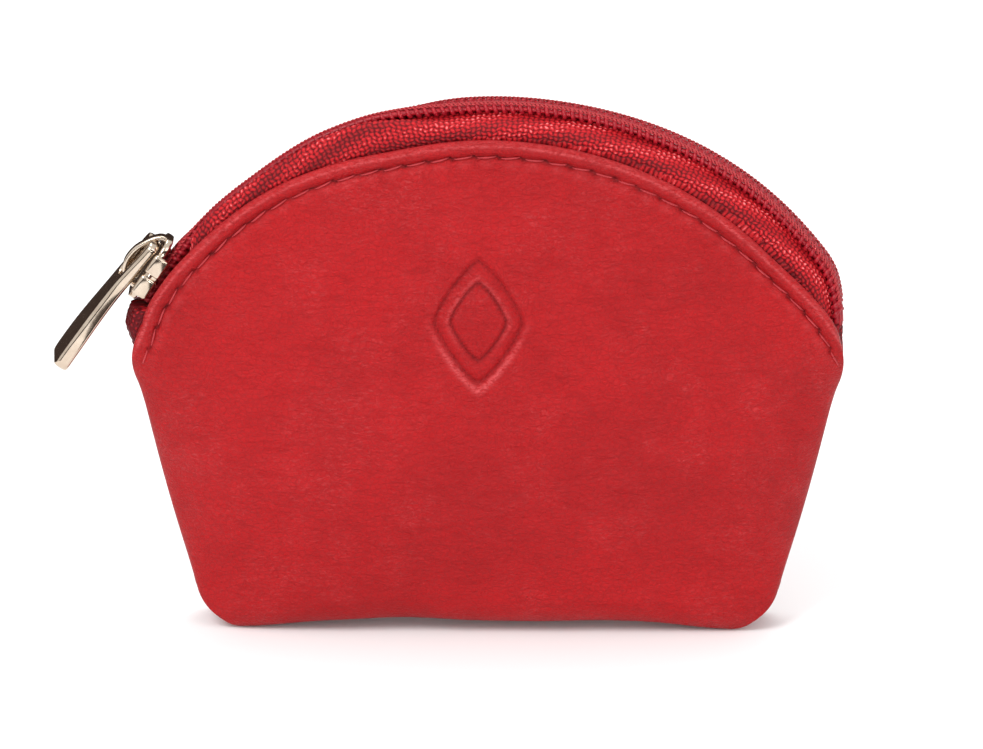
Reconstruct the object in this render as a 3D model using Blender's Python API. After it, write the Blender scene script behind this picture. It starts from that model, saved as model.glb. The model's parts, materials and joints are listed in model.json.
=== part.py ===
"""Small leather coin purse with an arched coil zip, built as separate named pieces.

Metres, +Z up, +X to the purse's right as seen from the front, the front faces -Y.
The origin is on the flat underside, on the purse's plane of symmetry.
"""
import math

import bmesh
import bpy
from mathutils import Matrix, Vector

MM = 0.001

# Driving dimensions, in millimetres.
ARCH_CENTRE_Z = 21.0        # centre of the arch, on the plane of symmetry
LEATHER_EDGE_RADIUS = 56.2  # arch edge of the leather panels
LINING_EDGE_RADIUS = 55.2   # arch edge of the linings
EAR_Z = 41.5                # where the arch edge meets the side seams
BOTTOM_HALF_WIDTH = 41.5    # side lines at the bottom, before the corners are rounded
SIDE_SLOPE = 0.262          # half width gained per millimetre of height
BOTTOM_CORNER_RADIUS = 4.5  # rounding of the two bottom corners, seen from the front
FOLD_RADIUS = 3.5           # rounding between the front face and the underside
UNDERSIDE_SHARE = 0.55      # flat share of the half depth along the underside
BOTTOM_SEAM_SHARE = 0.13    # the bottom seam lies this share of the half depth behind the middle

SEAM_HALF_DEPTH = 1.8       # half depth of the purse along the side seams
ZIP_HALF_DEPTH = 5.8        # half depth of the purse along the arch edge
BOTTOM_HALF_DEPTH = 7.6     # half depth in the middle of the bottom
BELLY_HALF_DEPTH = 10.0     # largest half depth
BELLY_Z = 28.0              # height of the largest depth

LEATHER_THICKNESS = 1.2
LINING_OUTER_INSET = 2.3    # from the leather's outer face to the lining's outer face
LINING_THICKNESS = 0.4
LINING_REACH = 0.93         # share of the half width that the lining's lower part reaches
LINING_SEAM_SHARE = 0.12    # gap at the lining's bottom, as a share of the half depth
TAPE_THICKNESS = 0.5
CLEARANCE = 0.3             # gap kept between neighbouring pieces

SPLIT_Z = 58.0              # the upper part of each panel bends outwards above this height
SPLIT_GAP = 0.6
UPPER_END_TRIM = 1.2        # the upper sheets stop this many degrees before their corners
UPPER_LINING_RISE = 0.7     # the upper lining starts this much higher than the leather

LEATHER_HEIGHTS = (FOLD_RADIUS, 8.0, 14.0, 21.0, 28.0, 35.0, 39.0, EAR_Z, 44.0, 47.0, 52.0)
LINING_HEIGHTS = (FOLD_RADIUS, 10.0, 19.0, 28.0, 36.0, EAR_Z, 47.0)
LEATHER_COLUMNS = 16
LINING_COLUMNS = 12
UPPER_LEATHER_ROWS = 5
UPPER_LINING_ROWS = 4

ZIP_CENTRE_X = 1.4          # the zip's arch stands this far to the right of the leather's
TAPE_RADIUS = 58.5          # outer face of the zip tape
TAPE_INNER_EDGE = 0.45      # distance of the tape's inner edge from the centre plane
TAPE_END_INNER_EDGE = 1.1   # the same beside the slider's wedge at both ends
TAPE_SHOULDER = 0.75        # rounding between the tape's flat top and its side
TAPE_SHOULDER_DROP = 0.9
TAPE_ENTRY_DEPTH = 2.0      # first point of the tape under the leather, along the radius
TAPE_HIDDEN_WIDTH = 6.0     # last point of the tape under the leather
TAPE_SPLIT_ANGLE = 48.7     # the moving stretch of the tapes ends here, in degrees
TAPE_SPLIT_HALF_GAP = 0.2   # in degrees
TAPE_END_ANGLE = 65.5       # both tapes end here
ARCH_STEPS = 24             # steps along the arch for the long pieces
END_STEPS = 5               # and for the short pieces at its ends
LEFT_DROP = 1.0             # the zip dips this much towards its left end
LEFT_DROP_ANGLES = (61.5, 67.5)
RIGHT_DROP = 5.0            # and this much towards its right end
RIGHT_DROP_ANGLES = (55.5, 67.0)
HIDDEN_DROP_SHARE = 0.6     # the hidden part of the tape follows by this share
DROP_INSET_SHARE = 0.06     # and stays this much further inside where the zip dips

COIL_PITCH = 1.27
COIL_INNER_RADIUS = 58.8
COIL_OUTER_RADIUS = 60.3
COIL_HALF_WIDTH = 2.1
COIL_TOOTH_REACH = 0.45     # how far a tooth reaches across the centre plane
COIL_TOOTH_GAP = 0.1        # from the meeting line to each half's teeth
COIL_SPLIT_ANGLE = 55.5     # the moving stretch of the coil ends here
COIL_RIGHT_START_ANGLE = 55.9
COIL_RIGHT_END_ANGLE = 61.3
COIL_THREAD_WIDTH = 0.35

STITCH_RADIUS = 53.8        # topstitching along the arch edge
STITCH_WIDTH = 0.5
STITCH_HEIGHT = 0.35
STITCH_SPLIT_ANGLE = 45.8   # the long row ends here, on the part that bends
STITCH_RESTART_ANGLE = 47.6
STITCH_END_ANGLE = 65.0

LEFT_TACK_ANGLE = -64.0
RIGHT_TACK_ANGLE = 63.0
TACK_HALF_ANGLE = 0.75
TACK_HALF_WIDTH = 2.0
TACK_HEIGHT = 1.0

SLIDER_ANGLE = -56.0        # where the slider is parked, measured from the top of the arch
SLIDER_LENGTH = 10.8
SLIDER_PLATE = 1.1          # thickness of the slider's top plate
SLIDER_BOTTOM_PLATE = 0.9
CHANNEL_TOP_RADIUS = 60.6   # underside of the slider's top plate
CHANNEL_BOTTOM_RADIUS = 57.5
FLANGE_BOTTOM_RADIUS = 59.2
SLIDER_JOIN_DEPTH = 0.4     # how far parts of the slider reach into each other
CROWN_WIDTH = 1.5
CROWN_THICKNESS = 1.0
CROWN_START = -2.1          # middle of the crown's left leg, from the slider's middle
CROWN_END = 4.8             # middle of its right leg
CROWN_TOP_RADIUS = 64.9     # middle of the crown at its top
CROWN_SQUARENESS = 0.4      # 1 is a half ellipse, and smaller is squarer

PULLER_PIVOT_ALONG = 2.85   # from the slider's middle, towards its tail
PULLER_PIVOT_RADIUS = 62.95
PULLER_TILT = 2.6           # the parked puller stands this far off the slider, in degrees
PULLER_LENGTH = 23.0        # from the pivot to the tip
PULLER_END = 1.0            # from the pivot to the end of the eye
PULLER_END_HALF_WIDTH = 1.9
PULLER_END_CORNER = 0.7
PULLER_TIP_ROUND = 2.6      # length of the rounded tip
PULLER_BEVEL = 0.45
PULLER_THICKNESS = 1.8
PULLER_EYE_HALF_WIDTH = 3.1
PULLER_WAIST_HALF_WIDTH = 2.7
PULLER_TIP_HALF_WIDTH = 3.5
PULLER_SLOT_START = 1.0
PULLER_SLOT_END = 6.5
PULLER_SLOT_WIDTH = 2.8

SEAM_THREAD_RADIUS = 0.25
SEAM_THREAD_INSET = 1.6     # from the outline to the seam thread
SEAM_THREAD_TOP_Z = 38.0
SEAM_THREAD_CORNER = 6.0
SEAM_THREAD_SIDE_STEPS = 7
SEAM_THREAD_BOTTOM_STEPS = 10

FRONT = -1
BACK = 1

COLOURS = {
    "leather": ((0.50, 0.018, 0.022), 0.48, 0.0),
    "lining": ((0.16, 0.012, 0.016), 0.85, 0.0),
    "tape": ((0.60, 0.020, 0.025), 0.70, 0.0),
    "coil": ((0.38, 0.012, 0.025), 0.35, 0.0),
    "thread": ((0.55, 0.050, 0.050), 0.60, 0.0),
    "metal": ((0.80, 0.72, 0.62), 0.18, 1.0),
}


def clear_scene():
    for obj in list(bpy.data.objects):
        bpy.data.objects.remove(obj, do_unlink=True)


def make_material(name):
    colour, roughness, metallic = COLOURS[name]
    material = bpy.data.materials.new(name)
    material.use_nodes = True
    shader = material.node_tree.nodes["Principled BSDF"]
    shader.inputs["Base Color"].default_value = (*colour, 1.0)
    shader.inputs["Roughness"].default_value = roughness
    shader.inputs["Metallic"].default_value = metallic
    return material


def smoothstep(value):
    value = min(max(value, 0.0), 1.0)
    return value * value * (3.0 - 2.0 * value)


def spread(low, high, count):
    """count + 1 evenly spaced values from low to high."""
    return [low + (high - low) * i / count for i in range(count + 1)]


def add_object(name, mesh, material, smooth_angle=40.0):
    mesh.materials.append(material)
    mesh.shade_smooth()
    mesh.set_sharp_from_angle(angle=math.radians(smooth_angle))
    obj = bpy.data.objects.new(name, mesh)
    bpy.context.collection.objects.link(obj)
    return obj


def mesh_from_faces(name, points, faces):
    """A closed mesh in metres from points in millimetres, with its faces turned outwards."""
    mesh = bpy.data.meshes.new(name)
    mesh.from_pydata([Vector(p) * MM for p in points], [], faces)
    work = bmesh.new()
    work.from_mesh(mesh)
    bmesh.ops.recalc_face_normals(work, faces=work.faces)
    work.to_mesh(mesh)
    work.free()
    return mesh


def add_sheet(name, outer, inner, material):
    """A closed sheet between two grids of points of the same size."""
    rows = len(outer)
    columns = len(outer[0])
    offset = rows * columns
    points = [p for row in outer for p in row] + [p for row in inner for p in row]
    faces = []
    for i in range(rows - 1):
        for j in range(columns - 1):
            a = i * columns + j
            quad = (a, a + 1, a + columns + 1, a + columns)
            faces.append(quad)
            faces.append(tuple(offset + k for k in reversed(quad)))
    border = list(range(columns))
    border += [i * columns + columns - 1 for i in range(1, rows)]
    border += [(rows - 1) * columns + j for j in range(columns - 2, -1, -1)]
    border += [i * columns for i in range(rows - 2, 0, -1)]
    for k, a in enumerate(border):
        b = border[(k + 1) % len(border)]
        faces.append((b, a, offset + a, offset + b))
    return add_object(name, mesh_from_faces(name, points, faces), material)


def polar(angle, radius, y):
    """A point on the leather's arch: angle in degrees from the top, positive to the right."""
    a = math.radians(angle)
    return (radius * math.sin(a), y, ARCH_CENTRE_Z + radius * math.cos(a))


def on_zip(angle, radius, y):
    """The same for the zip, whose arch stands a little to the right."""
    x, _, z = polar(angle, radius, y)
    return (x + ZIP_CENTRE_X, y, z)


# Outline and depth of the purse


def side_half_width(z):
    width = BOTTOM_HALF_WIDTH + SIDE_SLOPE * z
    if z < BOTTOM_CORNER_RADIUS:
        rest = BOTTOM_CORNER_RADIUS - z
        width -= BOTTOM_CORNER_RADIUS - math.sqrt(BOTTOM_CORNER_RADIUS ** 2 - rest ** 2)
    return width


def arch_half_width(z, radius):
    return math.sqrt(max(radius ** 2 - (z - ARCH_CENTRE_Z) ** 2, 0.0))


def half_width(z, inset, edge_radius):
    """Half width at height z; the inset narrows the sides but not the arch edge."""
    side = side_half_width(z) - inset * (1.0 - smoothstep((z - EAR_Z + 3.0) / 4.0))
    return min(side, arch_half_width(z, edge_radius))


def edge_half_depth(z):
    """Half depth along the outline: thin at the side seams, deeper along the zip."""
    rise = smoothstep((z - EAR_Z + 1.0) / 5.5)
    return SEAM_HALF_DEPTH + (ZIP_HALF_DEPTH - SEAM_HALF_DEPTH) * rise


def middle_half_depth(z):
    if z < BELLY_Z:
        rise = math.sin(0.5 * math.pi * z / BELLY_Z)
        return BOTTOM_HALF_DEPTH + (BELLY_HALF_DEPTH - BOTTOM_HALF_DEPTH) * rise
    top = ARCH_CENTRE_Z + LEATHER_EDGE_RADIUS
    fall = math.cos(0.5 * math.pi * min((z - BELLY_Z) / (top - BELLY_Z), 1.0))
    return ZIP_HALF_DEPTH + (BELLY_HALF_DEPTH - ZIP_HALF_DEPTH) * fall


def half_depth(share, z):
    """Half depth at a share of the half width, -1 to 1."""
    edge = edge_half_depth(z)
    power = 0.6 + 0.4 * smoothstep((z - EAR_Z) / 6.0)
    dome = max(1.0 - share * share, 0.0) ** power
    return edge + (middle_half_depth(z) - edge) * dome


def half_depth_at(x, z):
    width = half_width(z, 0.0, LEATHER_EDGE_RADIUS)
    share = x / width if width > 0.0 else 0.0
    return half_depth(min(max(share, -1.0), 1.0), z)


def lower_grid(side, inset, edge_radius, reach, heights, columns, seam_shift):
    """Rows of points from the bottom seam up to the split, one face of one lower sheet."""
    shares = [reach * math.sin(a) for a in spread(-0.5 * math.pi, 0.5 * math.pi, columns)]
    rows = []
    for step in (0.0, 0.5, 1.0):
        row = []
        for share in shares:
            depth = half_depth(share, 0.0)
            seam = seam_shift(depth)
            y = seam + step * (side * (depth - inset) * UNDERSIDE_SHARE - seam)
            row.append((share * half_width(0.0, inset, edge_radius), y, inset))
        rows.append(row)
    for turn in (30.0, 60.0):
        a = math.radians(turn)
        z = inset + (FOLD_RADIUS - inset) * (1.0 - math.cos(a))
        reach_out = UNDERSIDE_SHARE + (1.0 - UNDERSIDE_SHARE) * math.sin(a)
        width = half_width(z, inset, edge_radius)
        rows.append([
            (share * width, side * (half_depth(share, z) - inset) * reach_out, z)
            for share in shares
        ])
    for z in heights:
        width = half_width(z, inset, edge_radius)
        rows.append([
            (share * width, side * (half_depth(share, z) - inset), z) for share in shares
        ])
    return rows


def upper_grid(side, inset, edge_radius, base_z, rows, columns):
    """Rows of points from the split up to the arch edge, one face of one upper sheet."""
    end = math.degrees(math.acos((base_z - ARCH_CENTRE_Z) / edge_radius)) - UPPER_END_TRIM
    grid = []
    for part in spread(0.0, 1.0, rows):
        row = []
        for angle in spread(-end, end, columns):
            x, _, top = polar(angle, edge_radius, 0.0)
            z = base_z + part * (top - base_z)
            row.append((x, side * (half_depth_at(x, z) - inset), z))
        grid.append(row)
    return grid


def add_panels(side, prefix, materials):
    """The leather panel and the lining of one side, each as a lower and an upper sheet."""
    shift = 0.5 * CLEARANCE * side

    def leather_seam(depth):
        return BOTTOM_SEAM_SHARE * depth + shift

    def lining_seam(depth):
        return side * LINING_SEAM_SHARE * depth

    lower_top = SPLIT_Z - 0.5 * SPLIT_GAP
    upper_base = SPLIT_Z + 0.5 * SPLIT_GAP
    heights = LEATHER_HEIGHTS + (lower_top,)
    faces = [
        lower_grid(side, inset, LEATHER_EDGE_RADIUS, 1.0, heights, LEATHER_COLUMNS, leather_seam)
        for inset in (0.0, LEATHER_THICKNESS)
    ]
    add_sheet(prefix + "_panel_lower", faces[0], faces[1], materials["leather"])
    faces = [
        upper_grid(
            side, inset, LEATHER_EDGE_RADIUS, upper_base, UPPER_LEATHER_ROWS, LEATHER_COLUMNS
        )
        for inset in (0.0, LEATHER_THICKNESS)
    ]
    add_sheet(prefix + "_panel_upper", faces[0], faces[1], materials["leather"])

    lining_insets = (LINING_OUTER_INSET, LINING_OUTER_INSET + LINING_THICKNESS)
    heights = LINING_HEIGHTS + (lower_top,)
    faces = [
        lower_grid(
            side, inset, LINING_EDGE_RADIUS, LINING_REACH, heights, LINING_COLUMNS, lining_seam
        )
        for inset in lining_insets
    ]
    add_sheet(prefix + "_lining_lower", faces[0], faces[1], materials["lining"])
    lining_base = upper_base + UPPER_LINING_RISE
    faces = [
        upper_grid(
            side, inset, LINING_EDGE_RADIUS, lining_base, UPPER_LINING_ROWS, LINING_COLUMNS
        )
        for inset in lining_insets
    ]
    add_sheet(prefix + "_lining_upper", faces[0], faces[1], materials["lining"])


# Zip


def crest_drop(angle):
    drop, (start, end) = (
        (LEFT_DROP, LEFT_DROP_ANGLES) if angle < 0.0 else (RIGHT_DROP, RIGHT_DROP_ANGLES)
    )
    return drop * smoothstep((abs(angle) - start) / (end - start))


def leather_inner_y(point):
    """Distance from the centre plane to the leather's inner face, above or below a point."""
    x, _, z = point
    return half_depth_at(x, z) - LEATHER_THICKNESS


def tape_section(angle, inner_edge):
    """Both faces of the tape as (distance from the centre plane, radius) points."""
    drop = crest_drop(angle)
    top = TAPE_RADIUS - drop
    side_radius = min(LEATHER_EDGE_RADIUS, top - TAPE_SHOULDER_DROP)
    clearance = CLEARANCE + DROP_INSET_SHARE * drop
    side_y = leather_inner_y(on_zip(angle, side_radius, 0.0)) - clearance - 0.1
    shoulder_y = side_y + 0.1 - TAPE_SHOULDER
    outer = [(inner_edge, top), (shoulder_y, top), (side_y, top - TAPE_SHOULDER_DROP)]
    inner = [
        (inner_edge, top - TAPE_THICKNESS),
        (shoulder_y - 0.5 * TAPE_THICKNESS, top - TAPE_THICKNESS),
        (side_y - TAPE_THICKNESS, top - TAPE_SHOULDER_DROP - 0.4 * TAPE_THICKNESS),
    ]
    for depth in (TAPE_ENTRY_DEPTH, TAPE_HIDDEN_WIDTH):
        radius = LEATHER_EDGE_RADIUS - depth - HIDDEN_DROP_SHARE * drop
        y = leather_inner_y(on_zip(angle, radius, 0.0)) - clearance
        outer.append((y, radius))
        inner.append((y - TAPE_THICKNESS, radius))
    return outer, inner


def add_tape(name, side, start, end, steps, inner_edge, material):
    grids = ([], [])
    for angle in spread(start, end, steps):
        for grid, section in zip(grids, tape_section(angle, inner_edge)):
            grid.append([on_zip(angle, radius, side * y) for y, radius in section])
    add_sheet(name, grids[0], grids[1], material)


def add_coil(name, side, start, end, material):
    """One half of the coil: a strip along the arch whose inner edge is a row of teeth."""
    pitch = math.degrees(COIL_PITCH / (0.5 * (COIL_INNER_RADIUS + COIL_OUTER_RADIUS)))
    count = int((end - start) / pitch)
    outer = []
    inner = []
    for i in range(2 * count + 1):
        angle = start + 0.5 * pitch * i
        reach = COIL_TOOTH_REACH if i % 2 else -COIL_TOOTH_REACH
        edge = reach + side * COIL_TOOTH_GAP
        back = side * COIL_HALF_WIDTH
        drop = crest_drop(angle)
        high = COIL_OUTER_RADIUS - drop
        low = COIL_INNER_RADIUS - drop
        outer.append([on_zip(angle, high, back), on_zip(angle, high, edge)])
        inner.append([on_zip(angle, low, back), on_zip(angle, low, edge)])
    add_sheet(name, outer, inner, material)


def add_strip(name, sections, material):
    """A closed bar through square sections, each a list of four points."""
    outer = [[s[0], s[1]] for s in sections]
    inner = [[s[3], s[2]] for s in sections]
    add_sheet(name, outer, inner, material)


def add_coil_thread(name, side, material):
    low = TAPE_RADIUS + 0.5 * CLEARANCE
    high = low + COIL_THREAD_WIDTH
    near = side * (COIL_HALF_WIDTH + 0.5 * CLEARANCE)
    far = side * (COIL_HALF_WIDTH + 0.5 * CLEARANCE + COIL_THREAD_WIDTH)
    sections = []
    for angle in spread(-TAPE_SPLIT_ANGLE, TAPE_SPLIT_ANGLE, ARCH_STEPS):
        corners = ((near, high), (far, high), (far, low), (near, low))
        sections.append([on_zip(angle, radius, y) for y, radius in corners])
    add_strip(name, sections, material)


def add_edge_stitching(name, side, start, end, steps, material):
    """The topstitching thread just above the leather's outer face."""
    sections = []
    for angle in spread(start, end, steps):
        corners = []
        for radius, lift in (
            (STITCH_RADIUS + 0.5 * STITCH_WIDTH, CLEARANCE + STITCH_HEIGHT),
            (STITCH_RADIUS - 0.5 * STITCH_WIDTH, CLEARANCE + STITCH_HEIGHT),
            (STITCH_RADIUS - 0.5 * STITCH_WIDTH, CLEARANCE),
            (STITCH_RADIUS + 0.5 * STITCH_WIDTH, CLEARANCE),
        ):
            depth = leather_inner_y(polar(angle, radius, 0.0)) + LEATHER_THICKNESS
            corners.append(polar(angle, radius, side * (depth + lift)))
        sections.append(corners)
    add_strip(name, sections, material)


def add_end_tack(name, centre_angle, material):
    """A short bar of thread sewn across both tapes, which stops the slider."""
    sections = []
    for angle in (centre_angle - TACK_HALF_ANGLE, centre_angle + TACK_HALF_ANGLE):
        low = TAPE_RADIUS + CLEARANCE - crest_drop(angle)
        corners = ((-1, TACK_HEIGHT), (1, TACK_HEIGHT), (1, 0.0), (-1, 0.0))
        sections.append([
            on_zip(angle, low + lift, sign * TACK_HALF_WIDTH) for sign, lift in corners
        ])
    add_strip(name, sections, material)


def add_zip(materials):
    moving_end = TAPE_SPLIT_ANGLE - TAPE_SPLIT_HALF_GAP
    fixed_start = TAPE_SPLIT_ANGLE + TAPE_SPLIT_HALF_GAP
    for side, prefix in ((FRONT, "front"), (BACK, "back")):
        add_tape(
            prefix + "_tape", side, -moving_end, moving_end, ARCH_STEPS,
            TAPE_INNER_EDGE, materials["tape"],
        )
        add_tape(
            prefix + "_tape_end_left", side, -TAPE_END_ANGLE, -fixed_start, END_STEPS,
            TAPE_END_INNER_EDGE, materials["tape"],
        )
        add_tape(
            prefix + "_tape_end_right", side, fixed_start, TAPE_END_ANGLE, END_STEPS,
            TAPE_END_INNER_EDGE, materials["tape"],
        )
        add_coil(
            prefix + "_coil", side, -COIL_SPLIT_ANGLE, COIL_SPLIT_ANGLE, materials["coil"]
        )
        add_coil(
            prefix + "_coil_end_right", side, COIL_RIGHT_START_ANGLE, COIL_RIGHT_END_ANGLE,
            materials["coil"],
        )
        add_coil_thread(prefix + "_coil_thread", side, materials["thread"])
        for label, start, end, steps in (
            ("", -STITCH_SPLIT_ANGLE, STITCH_SPLIT_ANGLE, ARCH_STEPS),
            ("_left", -STITCH_END_ANGLE, -STITCH_RESTART_ANGLE, END_STEPS),
            ("_right", STITCH_RESTART_ANGLE, STITCH_END_ANGLE, END_STEPS),
        ):
            name = prefix + "_edge_stitching" + label
            add_edge_stitching(name, side, start, end, steps, materials["thread"])
    add_end_tack("left_end_tack", LEFT_TACK_ANGLE, materials["thread"])
    add_end_tack("right_end_tack", RIGHT_TACK_ANGLE, materials["thread"])


def add_seam_thread(materials):
    """The thread of the side and bottom seam, one curve from ear to ear."""
    bottom_z = LEATHER_THICKNESS + CLEARANCE + SEAM_THREAD_RADIUS
    corner = SEAM_THREAD_CORNER
    points = []
    for z in spread(SEAM_THREAD_TOP_Z, corner + bottom_z, SEAM_THREAD_SIDE_STEPS):
        points.append((-(side_half_width(z) - SEAM_THREAD_INSET), 0.0, z))
    start_x = points[-1][0]
    for turn in (30.0, 60.0, 90.0):
        a = math.radians(turn)
        x = start_x + corner * (1.0 - math.cos(a))
        points.append((x, 0.0, bottom_z + corner * (1.0 - math.sin(a))))
    left = list(points)
    run = -points[-1][0]
    points += [(x, 0.0, bottom_z) for x in spread(-run, run, SEAM_THREAD_BOTTOM_STEPS)[1:-1]]
    points += [(-x, y, z) for x, y, z in reversed(left)]
    curve = bpy.data.curves.new("seam_thread", "CURVE")
    curve.dimensions = "3D"
    curve.bevel_depth = SEAM_THREAD_RADIUS * MM
    curve.bevel_resolution = 0
    curve.use_fill_caps = True
    spline = curve.splines.new("POLY")
    spline.points.add(len(points) - 1)
    for target, point in zip(spline.points, points):
        target.co = (*(c * MM for c in point), 1.0)
    curve.materials.append(materials["thread"])
    obj = bpy.data.objects.new("seam_thread", curve)
    bpy.context.collection.objects.link(obj)


# Slider and puller, modelled along X with the arch's centre below, then turned into place


def add_prism(name, outline, low, high, material, bevel=0.0, segments=2):
    """An outline of (x, y) points extruded from low to high along Z."""
    count = len(outline)
    points = [(x, y, low) for x, y in outline] + [(x, y, high) for x, y in outline]
    faces = [tuple(range(count)), tuple(range(count, 2 * count))]
    faces += [(i, (i + 1) % count, count + (i + 1) % count, count + i) for i in range(count)]
    obj = add_object(name, mesh_from_faces(name, points, faces), material)
    if bevel > 0.0:
        modifier = obj.modifiers.new("bevel", "BEVEL")
        modifier.width = bevel * MM
        modifier.segments = segments
        modifier.limit_method = "ANGLE"
        modifier.angle_limit = math.radians(50.0)
    return obj


def combine(target, tool, operation):
    """Joins the tool to the target or cuts it away, and keeps the tool out of the model."""
    modifier = target.modifiers.new(operation.lower(), "BOOLEAN")
    modifier.operation = operation
    modifier.solver = "EXACT"
    modifier.object = tool
    tool.hide_render = True
    tool.display_type = "WIRE"


def mirrored_outline(half):
    """A closed outline from its points on the +Y side."""
    return half + [(x, -y) for x, y in reversed(half)]


def place_on_arch(obj):
    obj.location = (ZIP_CENTRE_X * MM, 0.0, ARCH_CENTRE_Z * MM)
    obj.rotation_euler = (0.0, math.radians(SLIDER_ANGLE), 0.0)


def add_slider(materials):
    metal = materials["metal"]
    half = 0.5 * SLIDER_LENGTH
    top_half = [(half, 1.9), (half - 0.9, 2.9), (0.5, 3.5), (-half + 1.4, 3.7), (-half, 1.7)]
    body = add_prism(
        "slider_body", mirrored_outline(top_half), CHANNEL_TOP_RADIUS,
        CHANNEL_TOP_RADIUS + SLIDER_PLATE, metal, bevel=0.3,
    )
    bottom_half = [(x * 0.97, y * 0.92) for x, y in top_half]
    bottom = add_prism(
        "slider_bottom_tool", mirrored_outline(bottom_half),
        CHANNEL_BOTTOM_RADIUS - SLIDER_BOTTOM_PLATE, CHANNEL_BOTTOM_RADIUS, metal, bevel=0.25,
    )
    wedge = add_prism(
        "slider_wedge_tool", [(-4.7, 0.0), (-4.1, 0.7), (-3.2, 0.35), (-3.2, -0.35), (-4.1, -0.7)],
        CHANNEL_BOTTOM_RADIUS - SLIDER_JOIN_DEPTH, CHANNEL_TOP_RADIUS + SLIDER_JOIN_DEPTH, metal,
    )
    tools = [bottom, wedge]
    for sign, label in ((-1, "front"), (1, "back")):
        outline = [(-3.9, 2.8), (0.5, 2.75), (4.2, 2.4), (4.2, 2.85), (0.5, 3.4), (-3.9, 3.6)]
        tools.append(add_prism(
            "slider_flange_tool_" + label, [(x, sign * y) for x, y in outline],
            FLANGE_BOTTOM_RADIUS, CHANNEL_TOP_RADIUS + SLIDER_JOIN_DEPTH, metal,
            bevel=0.12, segments=1,
        ))
    tools.append(add_crown(metal))
    for tool in tools:
        combine(body, tool, "UNION")
    for obj in [body] + tools:
        place_on_arch(obj)


def add_crown(metal):
    """The arch over the slider that holds the puller's eye."""
    base = CHANNEL_TOP_RADIUS + SLIDER_PLATE - SLIDER_JOIN_DEPTH
    centre = 0.5 * (CROWN_START + CROWN_END)
    half_span = 0.5 * (CROWN_END - CROWN_START)
    rise = CROWN_TOP_RADIUS - base
    half_thick = 0.5 * CROWN_THICKNESS
    outer = []
    inner = []
    for turn in spread(180.0, 0.0, 12):
        a = math.radians(turn)
        across = math.copysign(abs(math.cos(a)) ** CROWN_SQUARENESS, math.cos(a))
        up = max(math.sin(a), 0.0) ** CROWN_SQUARENESS if 0.0 < turn < 180.0 else 0.0
        outer.append((centre + (half_span + half_thick) * across, base + (rise + half_thick) * up))
        inner.append((centre + (half_span - half_thick) * across, base + (rise - half_thick) * up))
    grids = []
    for path in (outer, inner):
        grids.append([
            [(t, -0.5 * CROWN_WIDTH, n), (t, 0.5 * CROWN_WIDTH, n)] for t, n in path
        ])
    crown = add_sheet("slider_crown_tool", grids[0], grids[1], metal)
    modifier = crown.modifiers.new("bevel", "BEVEL")
    modifier.width = 0.2 * MM
    modifier.segments = 1
    modifier.limit_method = "ANGLE"
    modifier.angle_limit = math.radians(60.0)
    return crown


def puller_half_width(along):
    """Half width of the puller at a distance from its pivot, before its round tip."""
    to_waist = smoothstep(along / 9.0)
    to_tip = smoothstep((along - 7.0) / 12.0)
    width = PULLER_EYE_HALF_WIDTH + (PULLER_WAIST_HALF_WIDTH - PULLER_EYE_HALF_WIDTH) * to_waist
    return width + (PULLER_TIP_HALF_WIDTH - PULLER_WAIST_HALF_WIDTH) * to_tip


def add_puller(materials):
    metal = materials["metal"]
    half = [
        (PULLER_END, PULLER_END_HALF_WIDTH),
        (PULLER_END - PULLER_END_CORNER, PULLER_EYE_HALF_WIDTH - 0.1),
    ]
    tip_start = PULLER_LENGTH - PULLER_TIP_ROUND
    half += [(-along, puller_half_width(along)) for along in spread(2.0, tip_start, 6)]
    for turn in (30.0, 60.0, 85.0):
        a = math.radians(turn)
        half.append((
            -tip_start - PULLER_TIP_ROUND * math.sin(a),
            PULLER_TIP_HALF_WIDTH * math.cos(a) ** 0.6,
        ))
    puller = add_prism(
        "puller", mirrored_outline(half), -0.5 * PULLER_THICKNESS, 0.5 * PULLER_THICKNESS,
        metal, bevel=PULLER_BEVEL,
    )
    slot = []
    end_radius = 0.5 * PULLER_SLOT_WIDTH
    for turn in spread(90.0, 270.0, 6):
        a = math.radians(turn)
        slot.append((
            -PULLER_SLOT_END + end_radius + end_radius * math.cos(a), end_radius * math.sin(a)
        ))
    slot += [(-PULLER_SLOT_START, -end_radius), (-PULLER_SLOT_START, end_radius)]
    cutter = add_prism("puller_slot_tool", slot, -PULLER_THICKNESS, PULLER_THICKNESS, metal)
    combine(puller, cutter, "DIFFERENCE")
    turn_on_arch = Matrix.Rotation(math.radians(SLIDER_ANGLE), 4, "Y")
    pivot = turn_on_arch @ Vector((PULLER_PIVOT_ALONG, 0.0, PULLER_PIVOT_RADIUS))
    for obj in (puller, cutter):
        obj.location = Vector((ZIP_CENTRE_X + pivot.x, 0.0, ARCH_CENTRE_Z + pivot.z)) * MM
        obj.rotation_euler = (0.0, math.radians(SLIDER_ANGLE + PULLER_TILT), 0.0)


def build():
    clear_scene()
    materials = {name: make_material(name) for name in COLOURS}
    add_panels(FRONT, "front", materials)
    add_panels(BACK, "back", materials)
    add_zip(materials)
    add_seam_thread(materials)
    add_slider(materials)
    add_puller(materials)


build()
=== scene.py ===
"""Looks of the small leather coin purse with an arched coil zip.

Lengths are in millimetres until a mesh is made, in the same frame as the CAD:
+X to the purse's right, the front faces -Y, +Z up, z = 0 under the purse.
"""
import json
import math

import bpy
import numpy as np
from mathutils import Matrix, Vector, noise


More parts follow.
